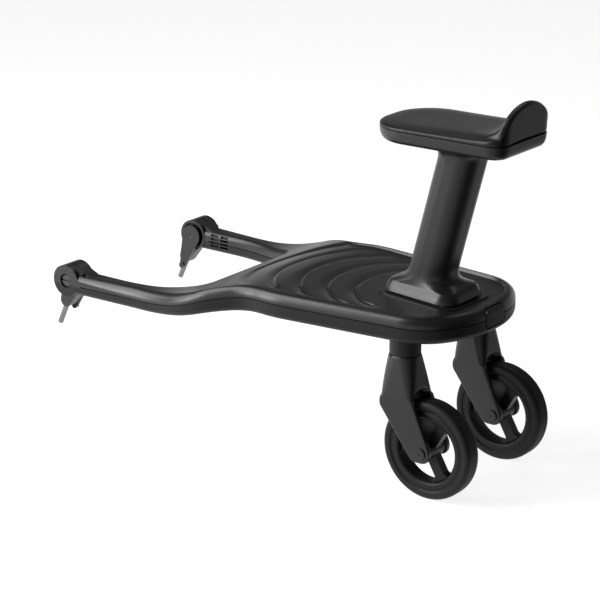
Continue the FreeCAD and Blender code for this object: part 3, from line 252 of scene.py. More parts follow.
# Studio: floor, sweep round the horizon, and the card that only reflections see
FLOOR_HALF_SIZE = 14.0
FLOOR_TONE = 0.35
FLOOR_LIFT = 0.85
SWEEP_WHITE_TO = 0.04
SWEEP_DARK_FROM = 0.22
SWEEP_DARK_TONE = 0.1
LAMP_AIM = Vector((0.0, 0.0, 0.25))
CARD_STEPS = 56
CARD_INNER = 0.26
CARD_OUTER = 1.3
CARD_LIFT = 0.002
CARD_HEIGHT = 0.7
CARD_ANGLES = (50, 110, 142, 160, 195, 215, 270)
CARD_TONES = (1.0, 0.65, 0.25, 0.02, 0.02, 0.3, 0.45)

# Camera at the photograph's place: eye point, view direction, lens and film gate
EYE = Vector((AXLE_X - 1.5715, 2.4540, 1.2263))
LOOK = Vector((0.5730, -0.7560, -0.3165)).normalized()
LENS = 136.04
FILM_GATE = 36.0
CLIP_END = 100.0


# Meshes worked out as grids of points


def piece(name, vertices, faces, material, body, stands_for, smooth_angle=None):
    """Points and faces as a smooth-shaded mesh that rides on a body and stands for CAD nodes."""
    mesh = bpy.data.meshes.new(name)
    mesh.from_pydata(vertices.tolist(), [], faces)
    joined = bmesh.new()
    joined.from_mesh(mesh)
    bmesh.ops.remove_doubles(joined, verts=joined.verts, dist=JOIN_DISTANCE)
    bmesh.ops.recalc_face_normals(joined, faces=joined.faces)
    joined.to_mesh(mesh)
    joined.free()
    mesh.polygons.foreach_set("use_smooth", np.ones(len(mesh.polygons), bool))
    made = bpy.data.objects.new(name, mesh)
    bpy.context.scene.collection.objects.link(made)
    mesh.materials.append(material)
    if smooth_angle is not None:
        mesh.set_sharp_from_angle(angle=smooth_angle)
    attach(made, body)
    if stands_for:
        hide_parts(*stands_for)
    return made


def ring_faces(rows, columns, flip=False):
    """Quads between neighbouring rows of a grid whose columns close on themselves."""
    row, column = np.meshgrid(np.arange(rows - 1), np.arange(columns), indexing="ij")
    after = (column + 1) % columns
    quads = np.stack([row * columns + column, row * columns + after,
                      (row + 1) * columns + after, (row + 1) * columns + column], axis=-1).reshape(-1, 4)
    if flip:
        quads = quads[:, ::-1]
    return quads.tolist()


def rounded_loop(corners, arc, run):
    """Points round a loop of (x, y, radius) corners: an arc at each corner and a straight run to the next.

    Each corner's arc turns about the point on its bisector that is a radius away from both sides.
    """
    data = np.array(corners, float)
    here, radius = data[:, :2], data[:, 2:]
    back = np.roll(here, 1, axis=0) - here
    ahead = np.roll(here, -1, axis=0) - here
    back /= np.linalg.norm(back, axis=1, keepdims=True)
    ahead /= np.linalg.norm(ahead, axis=1, keepdims=True)
    half = np.arccos(np.clip((back * ahead).sum(1, keepdims=True), -1, 1)) / 2
    bisector = (back + ahead) / np.linalg.norm(back + ahead, axis=1, keepdims=True)
    centre = here + bisector * radius / np.sin(half)
    start = here + back * radius / np.tan(half) - centre
    end = here + ahead * radius / np.tan(half) - centre
    first = np.arctan2(start[:, 1], start[:, 0])
    turn = np.arctan2(end[:, 1], end[:, 0]) - first
    turn = (turn + np.pi) % (2 * np.pi) - np.pi
    share = np.linspace(0, 1, arc)
    angle = first[:, None] + turn[:, None] * share
    arcs = centre[:, None] + radius[:, None] * np.stack([np.cos(angle), np.sin(angle)], axis=-1)
    leave, reach = arcs[:, -1], np.roll(arcs[:, 0], -1, axis=0)
    step = np.linspace(0, 1, run + 2)[1:-1]
    runs = leave[:, None] + (reach - leave)[:, None] * step[None, :, None]
    return np.concatenate([arcs, runs], axis=1).reshape(-1, 2)


def smooth_max(a, b, width):
    """The larger of two heights, with a rounded valley of the given width where they cross."""
    h = np.clip(0.5 + 0.5 * (a - b) / width, 0, 1)
    return b + (a - b) * h + width * h * (1 - h)


def smooth_step(share):
    """Nought to one over a share, level at both ends."""
    held = np.clip(share, 0, 1)
    return held * held * (3 - 2 * held)


def deck_outline():
    """The deck's plan with its two arms: corners rounded over a share of their shorter side."""
    half = [
        (OPENING_X, OPENING_HALF_WIDTH, OPENING_ROUND),
        (ARM_INNER_SET_X, ARM_INNER_Y, BEND_ROUND),
        (ARM_END_X, ARM_INNER_Y, END_ROUND),
        (ARM_END_X, ARM_OUTER_Y, END_ROUND),
        (ARM_SET_X, ARM_OUTER_Y, BEND_ROUND),
        (BOW_X, BOW_HALF_WIDTH, BEND_ROUND),
        (WAIST_X, WAIST_HALF_WIDTH, BEND_ROUND),
        (WIDE_X, DECK_HALF_WIDTH, BEND_ROUND),
        (CORNER_X, CORNER_HALF_WIDTH, CORNER_ROUND),
        (-DECK_REAR, REAR_HALF_WIDTH, BEND_ROUND),
    ]
    corners = np.array(half + [(x, -y, share) for x, y, share in reversed(half)])
    here = corners[:, :2]
    back = np.roll(here, 1, axis=0) - here
    ahead = np.roll(here, -1, axis=0) - here
    long_back = np.linalg.norm(back, axis=1)
    long_ahead = np.linalg.norm(ahead, axis=1)
    half_angle = np.arccos((back * ahead).sum(1) / long_back / long_ahead) / 2
    corners[:, 2] *= np.minimum(long_back, long_ahead) * np.tan(half_angle)
    return rounded_loop(corners, arc=24, run=12)


def moved_in(loop, inset):
    """A loop moved to its inner side along its own normals."""
    along = np.roll(loop, -1, axis=0) - np.roll(loop, 1, axis=0)
    along /= np.linalg.norm(along, axis=1, keepdims=True)
    return loop + inset * np.stack([-along[:, 1], along[:, 0]], axis=1)


def deck_top(x):
    """The deck's top line at x: level, then down to the arms in two equal arcs."""
    half = RAMP_LENGTH / 2
    radius = (half ** 2 + (ARM_DROP / 2) ** 2) / ARM_DROP
    along = np.clip(x - RAMP_START, 0, RAMP_LENGTH)
    first = radius - np.sqrt(radius ** 2 - np.minimum(along, half) ** 2)
    second = radius - np.sqrt(radius ** 2 - np.minimum(RAMP_LENGTH - along, half) ** 2)
    return DECK_TOP - np.where(along <= half, first, ARM_DROP - second)


def closed_form(name, grid):
    """A cutting form from rows of closed sections, with both end rows filled in."""
    rows, columns = grid.shape[:2]
    faces = ring_faces(rows, columns)
    faces += [list(range(columns)), list(range((rows - 1) * columns, rows * columns))]
    mesh = bpy.data.meshes.new(name)
    mesh.from_pydata((grid.reshape(-1, 3) + (AXLE_X, 0, 0)).tolist(), [], faces)
    joined = bmesh.new()
    joined.from_mesh(mesh)
    bmesh.ops.recalc_face_normals(joined, faces=joined.faces)
    joined.to_mesh(mesh)
    joined.free()
    made = bpy.data.objects.new(name, mesh)
    bpy.context.scene.collection.objects.link(made)
    return made


def outline_runs(loop):
    """Stretches of the deck's outline behind the hubs: one round the opening, one round the outside."""
    behind = loop[:, 0] < GROOVE_END_X
    for start in np.flatnonzero(behind & ~np.roll(behind, 1)):
        count = int(np.argmin(np.roll(behind, -start)))
        yield (start + np.arange(count)) % len(loop)


def parting_grooves():
    """Square channels round the deck's outside and round the opening, just over the parting line."""
    loop = deck_outline()
    inner = moved_in(loop, GROOVE_DEPTH)
    outer = moved_in(loop, -SIDE_CLEAR)
    forms = []
    for run in outline_runs(loop):
        low = deck_top(loop[run, 0]) - PARTING_DEPTH - GROOVE_SINK
        high = low + GROOVE_HEIGHT
        corners = [(inner, low), (outer, low), (outer, high), (inner, high)]
        section = [np.c_[edge[run], z] for edge, z in corners]
        forms.append(closed_form("parting_groove", np.stack(section, axis=1)))
    return forms


def rounded_band():
    """What the cover's broad round edge takes off, beyond a quarter ellipse that shrinks along the arms."""
    loop = deck_outline()
    run = max(outline_runs(loop), key=len)
    x = loop[run, 0]
    fade = np.clip((GROOVE_END_X - x) / (GROOVE_END_X - BAND_FADE_X), 0, 1)
    width = BAND_CORNER + (BAND_WIDTH - BAND_CORNER) * fade
    height = BAND_CORNER + (BAND_HEIGHT - BAND_CORNER) * fade
    section = []
    for angle in np.linspace(0, np.pi / 2, BAND_STEPS):
        inset = width * (1 - np.cos(angle))
        section.append((inset, deck_top(x) - height * (1 - np.sin(angle))))
    outside = np.full(len(x), -BAND_CLEAR)
    section.append((width, deck_top(x) + BAND_CLEAR))
    section.append((outside, deck_top(x) + BAND_CLEAR))
    section.append((outside, deck_top(x) - height))
    points = []
    for inset, z in section:
        every = np.zeros(len(loop))
        every[run] = inset
        points.append(np.c_[moved_in(loop, every[:, None])[run], z])
    return closed_form("rounded_band", np.stack(points, axis=1))


def box_form(name, low, high):
    """A square block between two corners, as two rows of four points."""
    (x0, y0, z0), (x1, y1, z1) = low, high
    square = [(x0, y0), (x1, y0), (x1, y1), (x0, y1)]
    return closed_form(name, np.array([[(x, y, z) for x, y in square] for z in (z0, z1)]))


def button_gap():
    """The release button's outline grown by the gap round it: a rounded block that opens at the back."""
    low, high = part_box("release_button")
    half = high.y + BUTTON_GAP
    top = high.z + BUTTON_GAP
    bottom = low.z - BUTTON_GAP
    corner = BUTTON_CORNER + BUTTON_GAP
    corners = [(half, top, corner), (-half, top, corner), (-half, bottom, corner), (half, bottom, corner)]
    loop = rounded_loop(corners, arc=8, run=1)
    rows = [np.c_[np.full(len(loop), x), loop] for x in (-2 * DECK_REAR, BUTTON_GAP_DEPTH - DECK_REAR)]
    return closed_form("button_gap", np.stack(rows))


def vent_slots():
    """Rows of short slots in the inner face of each arm, behind its hub."""
    forms = []
    for side in (1, -1):
        faces = sorted((side * (ARM_INNER_Y - SIDE_CLEAR), side * (ARM_INNER_Y + VENT_DEPTH)))
        for column in range(VENT_COLUMNS):
            front = ARM_END_X - VENT_BEHIND - column * (VENT_LENGTH + VENT_GAP)
            for row in range(VENT_ROWS):
                z = VENT_LOW + row * VENT_PITCH
                low = (front - VENT_LENGTH, faces[0], z)
                high = (front, faces[1], z + VENT_HEIGHT)
                forms.append(box_form("vent", low, high))
    return forms


def tread_edge():
    """The tread well's border and its rim: rays from under the seat to the rim or the front hollow's arc.

    The rim is the deck's outline moved in, cut off straight at the back for the button's land.
    """
    turn = np.linspace(0, 2 * np.pi, TREAD_COLUMNS, endpoint=False)
    way = np.stack([np.cos(turn), np.sin(turn)], axis=1)
    rim = moved_in(deck_outline(), TREAD_INSET)
    rim[:, 0] = np.maximum(rim[:, 0], BUTTON_LAND - DECK_REAR)
    middle = np.array([TREAD_MIDDLE, 0])
    run = np.roll(rim, -1, axis=0) - rim
    start = rim - middle
    lean = way[:, None, 0] * run[None, :, 1] - way[:, None, 1] * run[None, :, 0]
    lean = np.where(np.abs(lean) < TINY, TINY, lean)
    reach = (start[:, 0] * run[:, 1] - start[:, 1] * run[:, 0]) / lean
    along = (start[None, :, 0] * way[:, None, 1] - start[None, :, 1] * way[:, None, 0]) / lean
    hit = (along >= 0) & (along <= 1) & (reach > 0)
    rim_reach = np.where(hit, reach, np.inf).min(1)
    off = TREAD_MIDDLE - (HOLLOW_FRONT_X - HOLLOW_RADIUS)
    toward = way[:, 0] * off
    arc_radius = HOLLOW_RADIUS + HOLLOW_LENGTH
    arc_reach = -toward + np.sqrt(toward ** 2 - off ** 2 + arc_radius ** 2)
    reach = np.where(way[:, 0] > 0, np.minimum(rim_reach, arc_reach), rim_reach)
    return middle + way * reach[:, None], rim


def tread_depth(points, rim):
    """How far the tread lies below the deck's top line.

    Inside the rim's short wall lies a floor that deepens towards the back. Ahead of each crescent arc the
    floor falls away as the square of the nearness to the arc, then comes up in a short step behind it.
    """
    x = points[:, 0]
    distance = edge_distance(points, rim)
    depth = np.zeros(len(points))
    for k in range(HOLLOW_COUNT):
        radius = HOLLOW_RADIUS - k * HOLLOW_RADIUS_STEP
        centre = HOLLOW_FRONT_X - k * HOLLOW_PITCH - radius
        ahead = np.hypot(x - centre, points[:, 1]) - radius
        in_front = smooth_step((x - centre) / HOLLOW_SIDE_FADE)
        if k == 0:
            behind = np.where(x > centre, smooth_step(1 - ahead / HOLLOW_LENGTH), 1)
            sink = np.clip((HOLLOW_FRONT_X - x) / (HOLLOW_FRONT_X - FLOOR_REAR_X), 0, 1)
            floor = FLOOR_FRONT + (FLOOR_REAR - FLOOR_FRONT) * sink
            depth += floor * smooth_step(distance / TREAD_WALL) * behind
        slope = np.clip(1 - ahead / HOLLOW_LENGTH, 0, 1) ** 2
        step = smooth_step(1 + ahead / HOLLOW_STEP)
        ends = smooth_step((distance - HOLLOW_END_INSET) / HOLLOW_END_FADE)
        depth += HOLLOW_DEPTH * np.where(ahead >= 0, slope, step) * ends * in_front
    return depth


def tread(material):
    """The tread as rows drawn in from its border to a point under the seat, closed below by a bed."""
    edge, rim = tread_edge()
    middle = np.array([TREAD_MIDDLE, 0])
    rows = []
    for share in np.linspace(0, 1, TREAD_ROWS) ** TREAD_ROW_CROWDING:
        plan = edge + (middle - edge) * share
        rows.append(np.c_[plan, deck_top(plan[:, 0]) - tread_depth(plan, rim)])
    bed = np.c_[edge, deck_top(edge[:, 0]) - TREAD_BED + HAIR]
    under = bed * 1.0
    under[:, :2] = middle
    under[:, 2] = DECK_TOP - TREAD_BED
    grid = np.stack([under, bed] + rows)
    grid[..., 0] += AXLE_X
    faces = ring_faces(len(grid), grid.shape[1])
    return piece("deck_tread", grid.reshape(-1, 3), faces, material, "board", [], BROAD_ANGLE)


def tread_bed():
    """The pocket for the tread: the same border, from the bed up to clear air."""
    edge = tread_edge()[0]
    low = np.c_[edge, deck_top(edge[:, 0]) - TREAD_BED]
    high = np.c_[edge, np.full(len(edge), DECK_TOP + BED_CLEAR)]
    return closed_form("tread_bed", np.stack([low, high]))


def spread_arms(mesh):
    """Widens each arm to its hub's outer face: points move out by a share that grows along and across it."""
    flat = np.empty(len(mesh.vertices) * 3)
    mesh.vertices.foreach_get("co", flat)
    points = flat.reshape(-1, 3)
    along = np.clip((points[:, 0] - AXLE_X - SPREAD_X) / (GROOVE_END_X - SPREAD_X), 0, 1)
    side = np.abs(points[:, 1])
    across = np.clip((side - ARM_INNER_Y) / (ARM_OUTER_Y - ARM_INNER_Y), 0, 1)
    on_arm = (side < ARM_OUTER_Y + HAIR) & (points[:, 0] - AXLE_X < ARM_END_X)
    outward = np.sign(points[:, 1]) * HUB_PROUD * along * across ** SPREAD_POWER
    points[:, 1] += np.where(on_arm, outward, 0)
    mesh.vertices.foreach_set("co", points.ravel())
    mesh.update()


def joined_copy(name, node):
    """A new object with a copy of a CAD node's mesh, its loose triangles joined up."""
    mesh = nodes[node].data.copy()
    joined = bmesh.new()
    joined.from_mesh(mesh)
    bmesh.ops.remove_doubles(joined, verts=joined.verts, dist=JOIN_DISTANCE)
    joined.to_mesh(mesh)
    joined.free()
    made = bpy.data.objects.new(name, mesh)
    bpy.context.scene.collection.objects.link(made)
    return made


def settle(made):
    """Puts what an object's modifiers make of its mesh in place of that mesh."""
    graph = bpy.context.evaluated_depsgraph_get()
    result = bpy.data.meshes.new_from_object(made.evaluated_get(graph), depsgraph=graph)
    made.modifiers.clear()
    made.data = result


def carved(name, node, forms, material, group):
    """A copy of a deck shell, cut by closed forms and with its arms widened, that stands for the shell."""
    made = joined_copy(name, node)
    for form in forms:
        cut = made.modifiers.new("cut", "BOOLEAN")
        cut.operation = "DIFFERENCE"
        cut.solver = "EXACT"
        cut.object = form
    settle(made)
    spread_arms(made.data)
    finish_mesh(made, material, group)
    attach(made, "board")
    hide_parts(node)
    return made


def softened(name, node, body, material):
    """A copy of a node in even small facets with its edges relaxed, like a cast form with generous radii."""
    made = joined_copy(name, node)
    facets = made.modifiers.new("facets", "REMESH")
    facets.mode = "VOXEL"
    facets.voxel_size = FORK_FACET
    facets.use_smooth_shade = True
    relax = made.modifiers.new("relax", "SMOOTH")
    relax.factor = FORK_RELAX
    relax.iterations = FORK_RELAX_PASSES
    settle(made)
    made.data.materials.clear()
    made.data.materials.append(material)
    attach(made, body)
    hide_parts(node)
    return made


def saddle_outline(inset):
    """The saddle's plan: round nose in front, slightly narrower behind, drawn in by an inset."""
    front = SADDLE_FRONT - inset
    rear = -SADDLE_REAR + inset
    return rounded_loop([
        (front, SADDLE_HALF_WIDTH - inset, SADDLE_FRONT_CORNER - inset),
        (rear, SADDLE_REAR_HALF_WIDTH - inset, SADDLE_REAR_CORNER - inset),
        (rear, inset - SADDLE_REAR_HALF_WIDTH, SADDLE_REAR_CORNER - inset),
        (front, inset - SADDLE_HALF_WIDTH, SADDLE_FRONT_CORNER - inset),
    ], arc=22, run=22)


def edge_distance(points, outline):
    """Each point's distance to a closed outline, over all the outline's straight pieces at once."""
    a = outline
    d = np.roll(outline, -1, axis=0) - a
    rel = points[:, None] - a[None]
    along = np.clip((rel * d).sum(-1) / (d * d).sum(-1), 0, 1)
    gap = rel - along[..., None] * d
    return np.sqrt((gap ** 2).sum(-1).min(1))


def pad_height(x, y, distance):
    """The pad's top over its base at a plan point that is a distance in from the edge.

    A seat that thins to the front as a power curve and is rounded off near the edge as a superellipse,
    joined through a soft valley to the raised back edge: a half-ellipse across, full for its thickness and
    then falling away forwards as a power curve.
    """
    back = np.clip((SADDLE_FRONT - x) / (SADDLE_FRONT + SADDLE_REAR), 0, 1)
    thick = PAD_FRONT_HEIGHT + (PAD_REAR_HEIGHT - PAD_FRONT_HEIGHT) * back ** PAD_THINNING
    near = np.clip(1 - distance / PAD_ROUNDING, 0, 1)
    crown = (1 - near ** PAD_ROUND_POWER) ** (1 / PAD_ROUND_POWER)
    seat = thick * (PAD_SIDE + (1 - PAD_SIDE) * crown)
    across = np.sqrt(np.clip(1 - (y / HORN_HALF_WIDTH) ** 2, 0, 1))
    dome = HORN_HEIGHT - HORN_ROUND + HORN_ROUND * across
    fall = np.clip((x + SADDLE_REAR - HORN_THICKNESS) / HORN_SWEEP, 0, 1)
    edge = np.clip(1 - distance / HORN_EDGE, 0, 1)
    horn = dome * (1 - fall) ** HORN_SWEEP_POWER - HORN_EDGE * (1 - np.sqrt(1 - edge ** 2))
    return smooth_max(seat, horn, HORN_VALLEY)


def saddle_pad(material):
    """Moulded foam pad as rows round its outline: drawn-in foot, bulging side, then the top to its spine."""
    outline = saddle_outline(0)
    base = SHELL_BOX[0].z + SHELL_HEIGHT + HAIR
    spine_x = np.clip(outline[:, 0], PAD_SPINE_INSET - SADDLE_REAR, SADDLE_FRONT - SADDLE_HALF_WIDTH)
    spine = np.stack([spine_x, np.zeros(len(outline))], axis=1)
    edge_top = base + pad_height(outline[:, 0], outline[:, 1], np.zeros(len(outline)))
    rise = np.linspace(0, 1, PAD_SIDE_ROWS)[:, None]
    tucked = (1 - rise / PAD_TUCK_SHARE).clip(0, 1)
    bulge = PAD_FOOT_TUCK * (1 - np.sqrt(np.clip(1 - tucked ** 2, 0, 1)))
    inward = (spine - outline) / np.linalg.norm(spine - outline, axis=1, keepdims=True)
    side_xy = outline[None] + inward[None] * bulge[..., None]
    side_z = base + (edge_top - base) * rise
    share = (np.linspace(0, 1, PAD_TOP_ROWS)[1:] ** PAD_ROW_CROWDING)[:, None, None]
    top_xy = outline[None] + (spine - outline)[None] * share
    flat = top_xy.reshape(-1, 2)
    top = pad_height(flat[:, 0], flat[:, 1], edge_distance(flat, outline))
    top_z = base + top.reshape(len(share), -1)
    xy = np.concatenate([side_xy, top_xy])
    z = np.concatenate([side_z, top_z])
    lean = HORN_LEAN * np.clip((z - base - PAD_REAR_HEIGHT) / HORN_ROUND, 0, 1)
    points = np.stack([xy[..., 0] - lean + AXLE_X, xy[..., 1], z], axis=-1)
    under = np.linspace(1, 0, PAD_UNDER_ROWS)[:, None, None]
    under_xy = spine[None] + (side_xy[0] - spine)[None] * under
    under_z = np.full(under_xy.shape[:2], base)
    below = np.stack([under_xy[..., 0] + AXLE_X, under_xy[..., 1], under_z], axis=-1)[::-1]
    grid = np.concatenate([below[:-1], points])
    faces = ring_faces(len(grid), grid.shape[1])
    return piece("saddle_pad_foam", grid.reshape(-1, 3), faces, material, "board", ["saddle_pad"])


def saddle_shell(material):
    """Hard underside as rows of the saddle's outline: the inset falls off with height as a superellipse."""
    base = SHELL_BOX[0].z
    rise = np.linspace(0, 1, SHELL_ROWS)
    tuck = SHELL_TUCK * (1 - np.sqrt(1 - (1 - rise) ** SHELL_ROUND_POWER))
    rows = np.stack([saddle_outline(t) for t in tuck])
    z = np.broadcast_to(base + SHELL_HEIGHT * rise[:, None, None], rows.shape[:2] + (1,))
    points = np.concatenate([rows, z], axis=-1)
    floor = points[:1] * 1.0
    floor[..., :2] = floor[..., :2].mean(1, keepdims=True)
    lid = points[-1:] * 1.0
    lid[..., 1] = 0
    grid = np.concatenate([floor, points, lid])
    grid[..., 0] += AXLE_X
    faces = ring_faces(len(grid), grid.shape[1])
    points = grid.reshape(-1, 3)
    return piece("saddle_underside", points, faces, material, "board", ["saddle_shell"], BROAD_ANGLE)


def seat_post(material):
    """Leaning post as rows of rounded sections: skirt, concave flare, straight column, flared head.

    The flare blends the skirt's ledge into the column's section with a share that rises as one minus a
    power of what is left, and the head grows outwards with the cube of the rise.
    """
    height = SADDLE_Z - FOOT_Z

    def foot(inset):
        """Corners of the skirt's outline, drawn in by an inset."""
        front = FOOT_FRONT - inset
        rear = FOOT_REAR + inset
        corner = FOOT_CORNER - inset
        ahead = FOOT_FRONT_HALF_WIDTH - inset
        behind = FOOT_REAR_HALF_WIDTH - inset
        sides = [(front, ahead), (rear, behind), (rear, -behind), (front, -ahead)]
        return np.array([(x, y, corner) for x, y in sides])

    def section(z, grow):
        """Corners of the leaning column's section at a height, grown outwards."""
        x = POST_BASE_X - z * POST_LEAN
        front = x + POST_HALF_LENGTH + grow
        rear = x - POST_HALF_LENGTH - grow
        half = POST_HALF_WIDTH + grow
        corner = POST_CORNER + grow / 2
        sides = [(front, half), (rear, half), (rear, -half), (front, -half)]
        return np.array([(x, y, corner) for x, y in sides])

    ledge = foot(SKIRT_SLOPE)
    rows = []
    for share in np.linspace(0, 1, SKIRT_ROWS):
        rows.append((foot(SKIRT_SLOPE * share ** SKIRT_CURVE), share * SKIRT_HEIGHT))
    for share in np.linspace(0, 1, FLARE_ROWS)[1:]:
        z = SKIRT_HEIGHT + share * FLARE_HEIGHT
        mixed = 1 - (1 - share) ** FLARE_POWER
        corners = ledge * (1 - mixed) + section(z, 0) * mixed
        corners[:, 2] += FLARE_CORNER * 4 * mixed * (1 - mixed)
        rows.append((corners, z))
    neck = height - HEAD_FLARE_HEIGHT
    for z in np.linspace(SKIRT_HEIGHT + FLARE_HEIGHT, neck, COLUMN_ROWS)[1:]:
        rows.append((section(z, 0), z))
    for share in np.linspace(0, 1, HEAD_ROWS)[1:]:
        z = neck + share * HEAD_FLARE_HEIGHT
        rows.append((section(z, HEAD_FLARE * share ** HEAD_FLARE_POWER), z))
    loops = np.stack([rounded_loop(corners, arc=16, run=10) for corners, z in rows])
    z = np.array([z for corners, z in rows])[:, None, None] + FOOT_Z
    points = np.concatenate([loops, np.broadcast_to(z, loops.shape[:2] + (1,))], axis=-1)
    ends = [points[:1] * 1.0, points[-1:] * 1.0]
    for end in ends:
        end[..., :2] = end[..., :2].mean(1, keepdims=True)
    grid = np.concatenate([ends[0], points, ends[1]])
    grid[..., 0] += AXLE_X
    faces = ring_faces(len(grid), grid.shape[1])
    points = grid.reshape(-1, 3)
    return piece("seat_column", points, faces, material, "board", ["seat_post"], FINE_ANGLE)


def turned(side, across, reach, steps):
    """Points of a closed section turned about one wheel's axle, with the first row again at the end."""
    turn = np.linspace(0, 2 * np.pi, steps, endpoint=False)
    points = np.stack([AXLE_X + np.cos(turn)[None] * reach[:, None],
                       np.broadcast_to(side * WHEEL_Y + across[:, None], (len(reach), len(turn))),
                       WHEEL_RADIUS + np.sin(turn)[None] * reach[:, None]], axis=-1)
    return np.concatenate([points, points[:1]])


def tyre(side, material):
    """One tyre turned about its axle: flat tread with two fine grooves, round shoulders, bulged sides."""
    shoulder = np.linspace(0, np.pi / 2, SHOULDER_STEPS)
    fall = TYRE_HALF_WIDTH - TYRE_CROWN
    half_groove = np.array([FINE_GROOVE_BED, FINE_GROOVE_LIP])
    groove = FINE_GROOVE_Y + np.concatenate([-half_groove[::-1], half_groove])
    sunk = np.array([0, FINE_GROOVE_DEPTH, FINE_GROOVE_DEPTH, 0])
    across = np.concatenate([[0], groove, [TYRE_FLAT], TYRE_CROWN + fall * np.sin(shoulder), BEAD_ACROSS])
    drop = np.concatenate([[0], sunk, [0], fall * SHOULDER_DROP * (1 - np.cos(shoulder)), BEAD_DROP])
    reach = WHEEL_RADIUS - np.concatenate([drop, drop[:0:-1]])
    points = turned(side, np.concatenate([across, -across[:0:-1]]), reach, TYRE_STEPS)
    faces = ring_faces(len(points), TYRE_STEPS, flip=True)
    name = "left" if side > 0 else "right"
    stands_for = [name + "_tyre"]
    flat = points.reshape(-1, 3)
    return piece(name + "_tyre_rubber", flat, faces, material, name + "_wheel", stands_for, FINE_ANGLE)


def rim_ring(side, material):
    """The wheel's convex rim, turned about the axle from a squared ellipse (a superellipse)."""
    angle = np.linspace(0, 2 * np.pi, RIM_SECTION_STEPS, endpoint=False)
    power = 2 / RIM_POWER
    reach = RIM_RADIUS + RIM_HALF_DEPTH * np.sign(np.cos(angle)) * np.abs(np.cos(angle)) ** power
    across = RIM_HALF_WIDTH * np.sign(np.sin(angle)) * np.abs(np.sin(angle)) ** power
    points = turned(side, across, reach, RIM_STEPS)
    faces = ring_faces(len(points), RIM_STEPS)
    name = "left" if side > 0 else "right"
    return piece(name + "_rim_ring", points.reshape(-1, 3), faces, material, name + "_wheel", [])


# Finishes


def add(tree, kind, settings=None, values=None):
    """A node with its settings and its unlinked inputs filled in."""
    made = tree.nodes.new(kind)
    for label, value in (settings or {}).items():
        setattr(made, label, value)
    for label, value in (values or {}).items():
        made.inputs[label].default_value = value
    return made


def new_group(name, inputs, outputs):
    """A shader node group with number inputs and outputs, and its two end nodes."""
    group = bpy.data.node_groups.new(name, "ShaderNodeTree")
    for label, value in inputs:
        socket = group.interface.new_socket(label, in_out="INPUT", socket_type="NodeSocketFloat")
        socket.default_value = value
    for label in outputs:
        group.interface.new_socket(label, in_out="OUTPUT", socket_type="NodeSocketFloat")
    return group, group.nodes.new("NodeGroupInput"), group.nodes.new("NodeGroupOutput")


def moulded_grain():
    """Spark-eroded mould texture: fine pits for the bump, and a broad drift that varies the gloss."""
    group, entry, leave = new_group(
        "moulded_grain", [("Grain Scale", 1400.0), ("Gloss", 0.4), ("Drift", 0.05)], ["Height", "Roughness"])
    place = add(group, "ShaderNodeTexCoord")
    fine = add(group, "ShaderNodeTexNoise", values={"Detail": 3.0})
    broad = add(group, "ShaderNodeTexNoise", values={"Scale": 14.0, "Detail": 4.0})
    centred = add(group, "ShaderNodeMath", {"operation": "SUBTRACT"}, {1: 0.5})
    spread = add(group, "ShaderNodeMath", {"operation": "MULTIPLY_ADD"})
    link = group.links.new
    link(place.outputs["Object"], fine.inputs["Vector"])
    link(place.outputs["Object"], broad.inputs["Vector"])
    link(entry.outputs["Grain Scale"], fine.inputs["Scale"])
    link(broad.outputs["Fac"], centred.inputs[0])
    link(centred.outputs[0], spread.inputs[0])
    link(entry.outputs["Drift"], spread.inputs[1])
    link(entry.outputs["Gloss"], spread.inputs[2])
    link(fine.outputs["Fac"], leave.inputs["Height"])
    link(spread.outputs[0], leave.inputs["Roughness"])
    return group


def handling_scuffs():
    """Faint rubbed streaks: noise drawn out along one direction, kept only where it peaks and in patches."""
    group, entry, leave = new_group("handling_scuffs", [("Amount", 0.3)], ["Mask"])
    place = add(group, "ShaderNodeTexCoord")
    drawn = add(group, "ShaderNodeMapping",
                values={"Scale": (60.0, 900.0, 500.0), "Rotation": (0.0, 0.2, 0.6)})
    streaks = add(group, "ShaderNodeTexNoise", values={"Scale": 1.0, "Detail": 3.0})
    peaks = add(group, "ShaderNodeMapRange", values={"From Min": 0.6, "From Max": 0.78})
    patches = add(group, "ShaderNodeTexNoise", values={"Scale": 22.0, "Detail": 2.0})
    where = add(group, "ShaderNodeMapRange", values={"From Min": 0.5, "From Max": 0.7})
    both = add(group, "ShaderNodeMath", {"operation": "MULTIPLY"})
    weight = add(group, "ShaderNodeMath", {"operation": "MULTIPLY"})
    link = group.links.new
    link(place.outputs["Object"], drawn.inputs["Vector"])
    link(drawn.outputs["Vector"], streaks.inputs["Vector"])
    link(place.outputs["Object"], patches.inputs["Vector"])
    link(streaks.outputs["Fac"], peaks.inputs["Value"])
    link(patches.outputs["Fac"], where.inputs["Value"])
    link(peaks.outputs["Result"], both.inputs[0])
    link(where.outputs["Result"], both.inputs[1])
    link(both.outputs[0], weight.inputs[0])
    link(entry.outputs["Amount"], weight.inputs[1])
    link(weight.outputs[0], leave.inputs["Mask"])
    return group


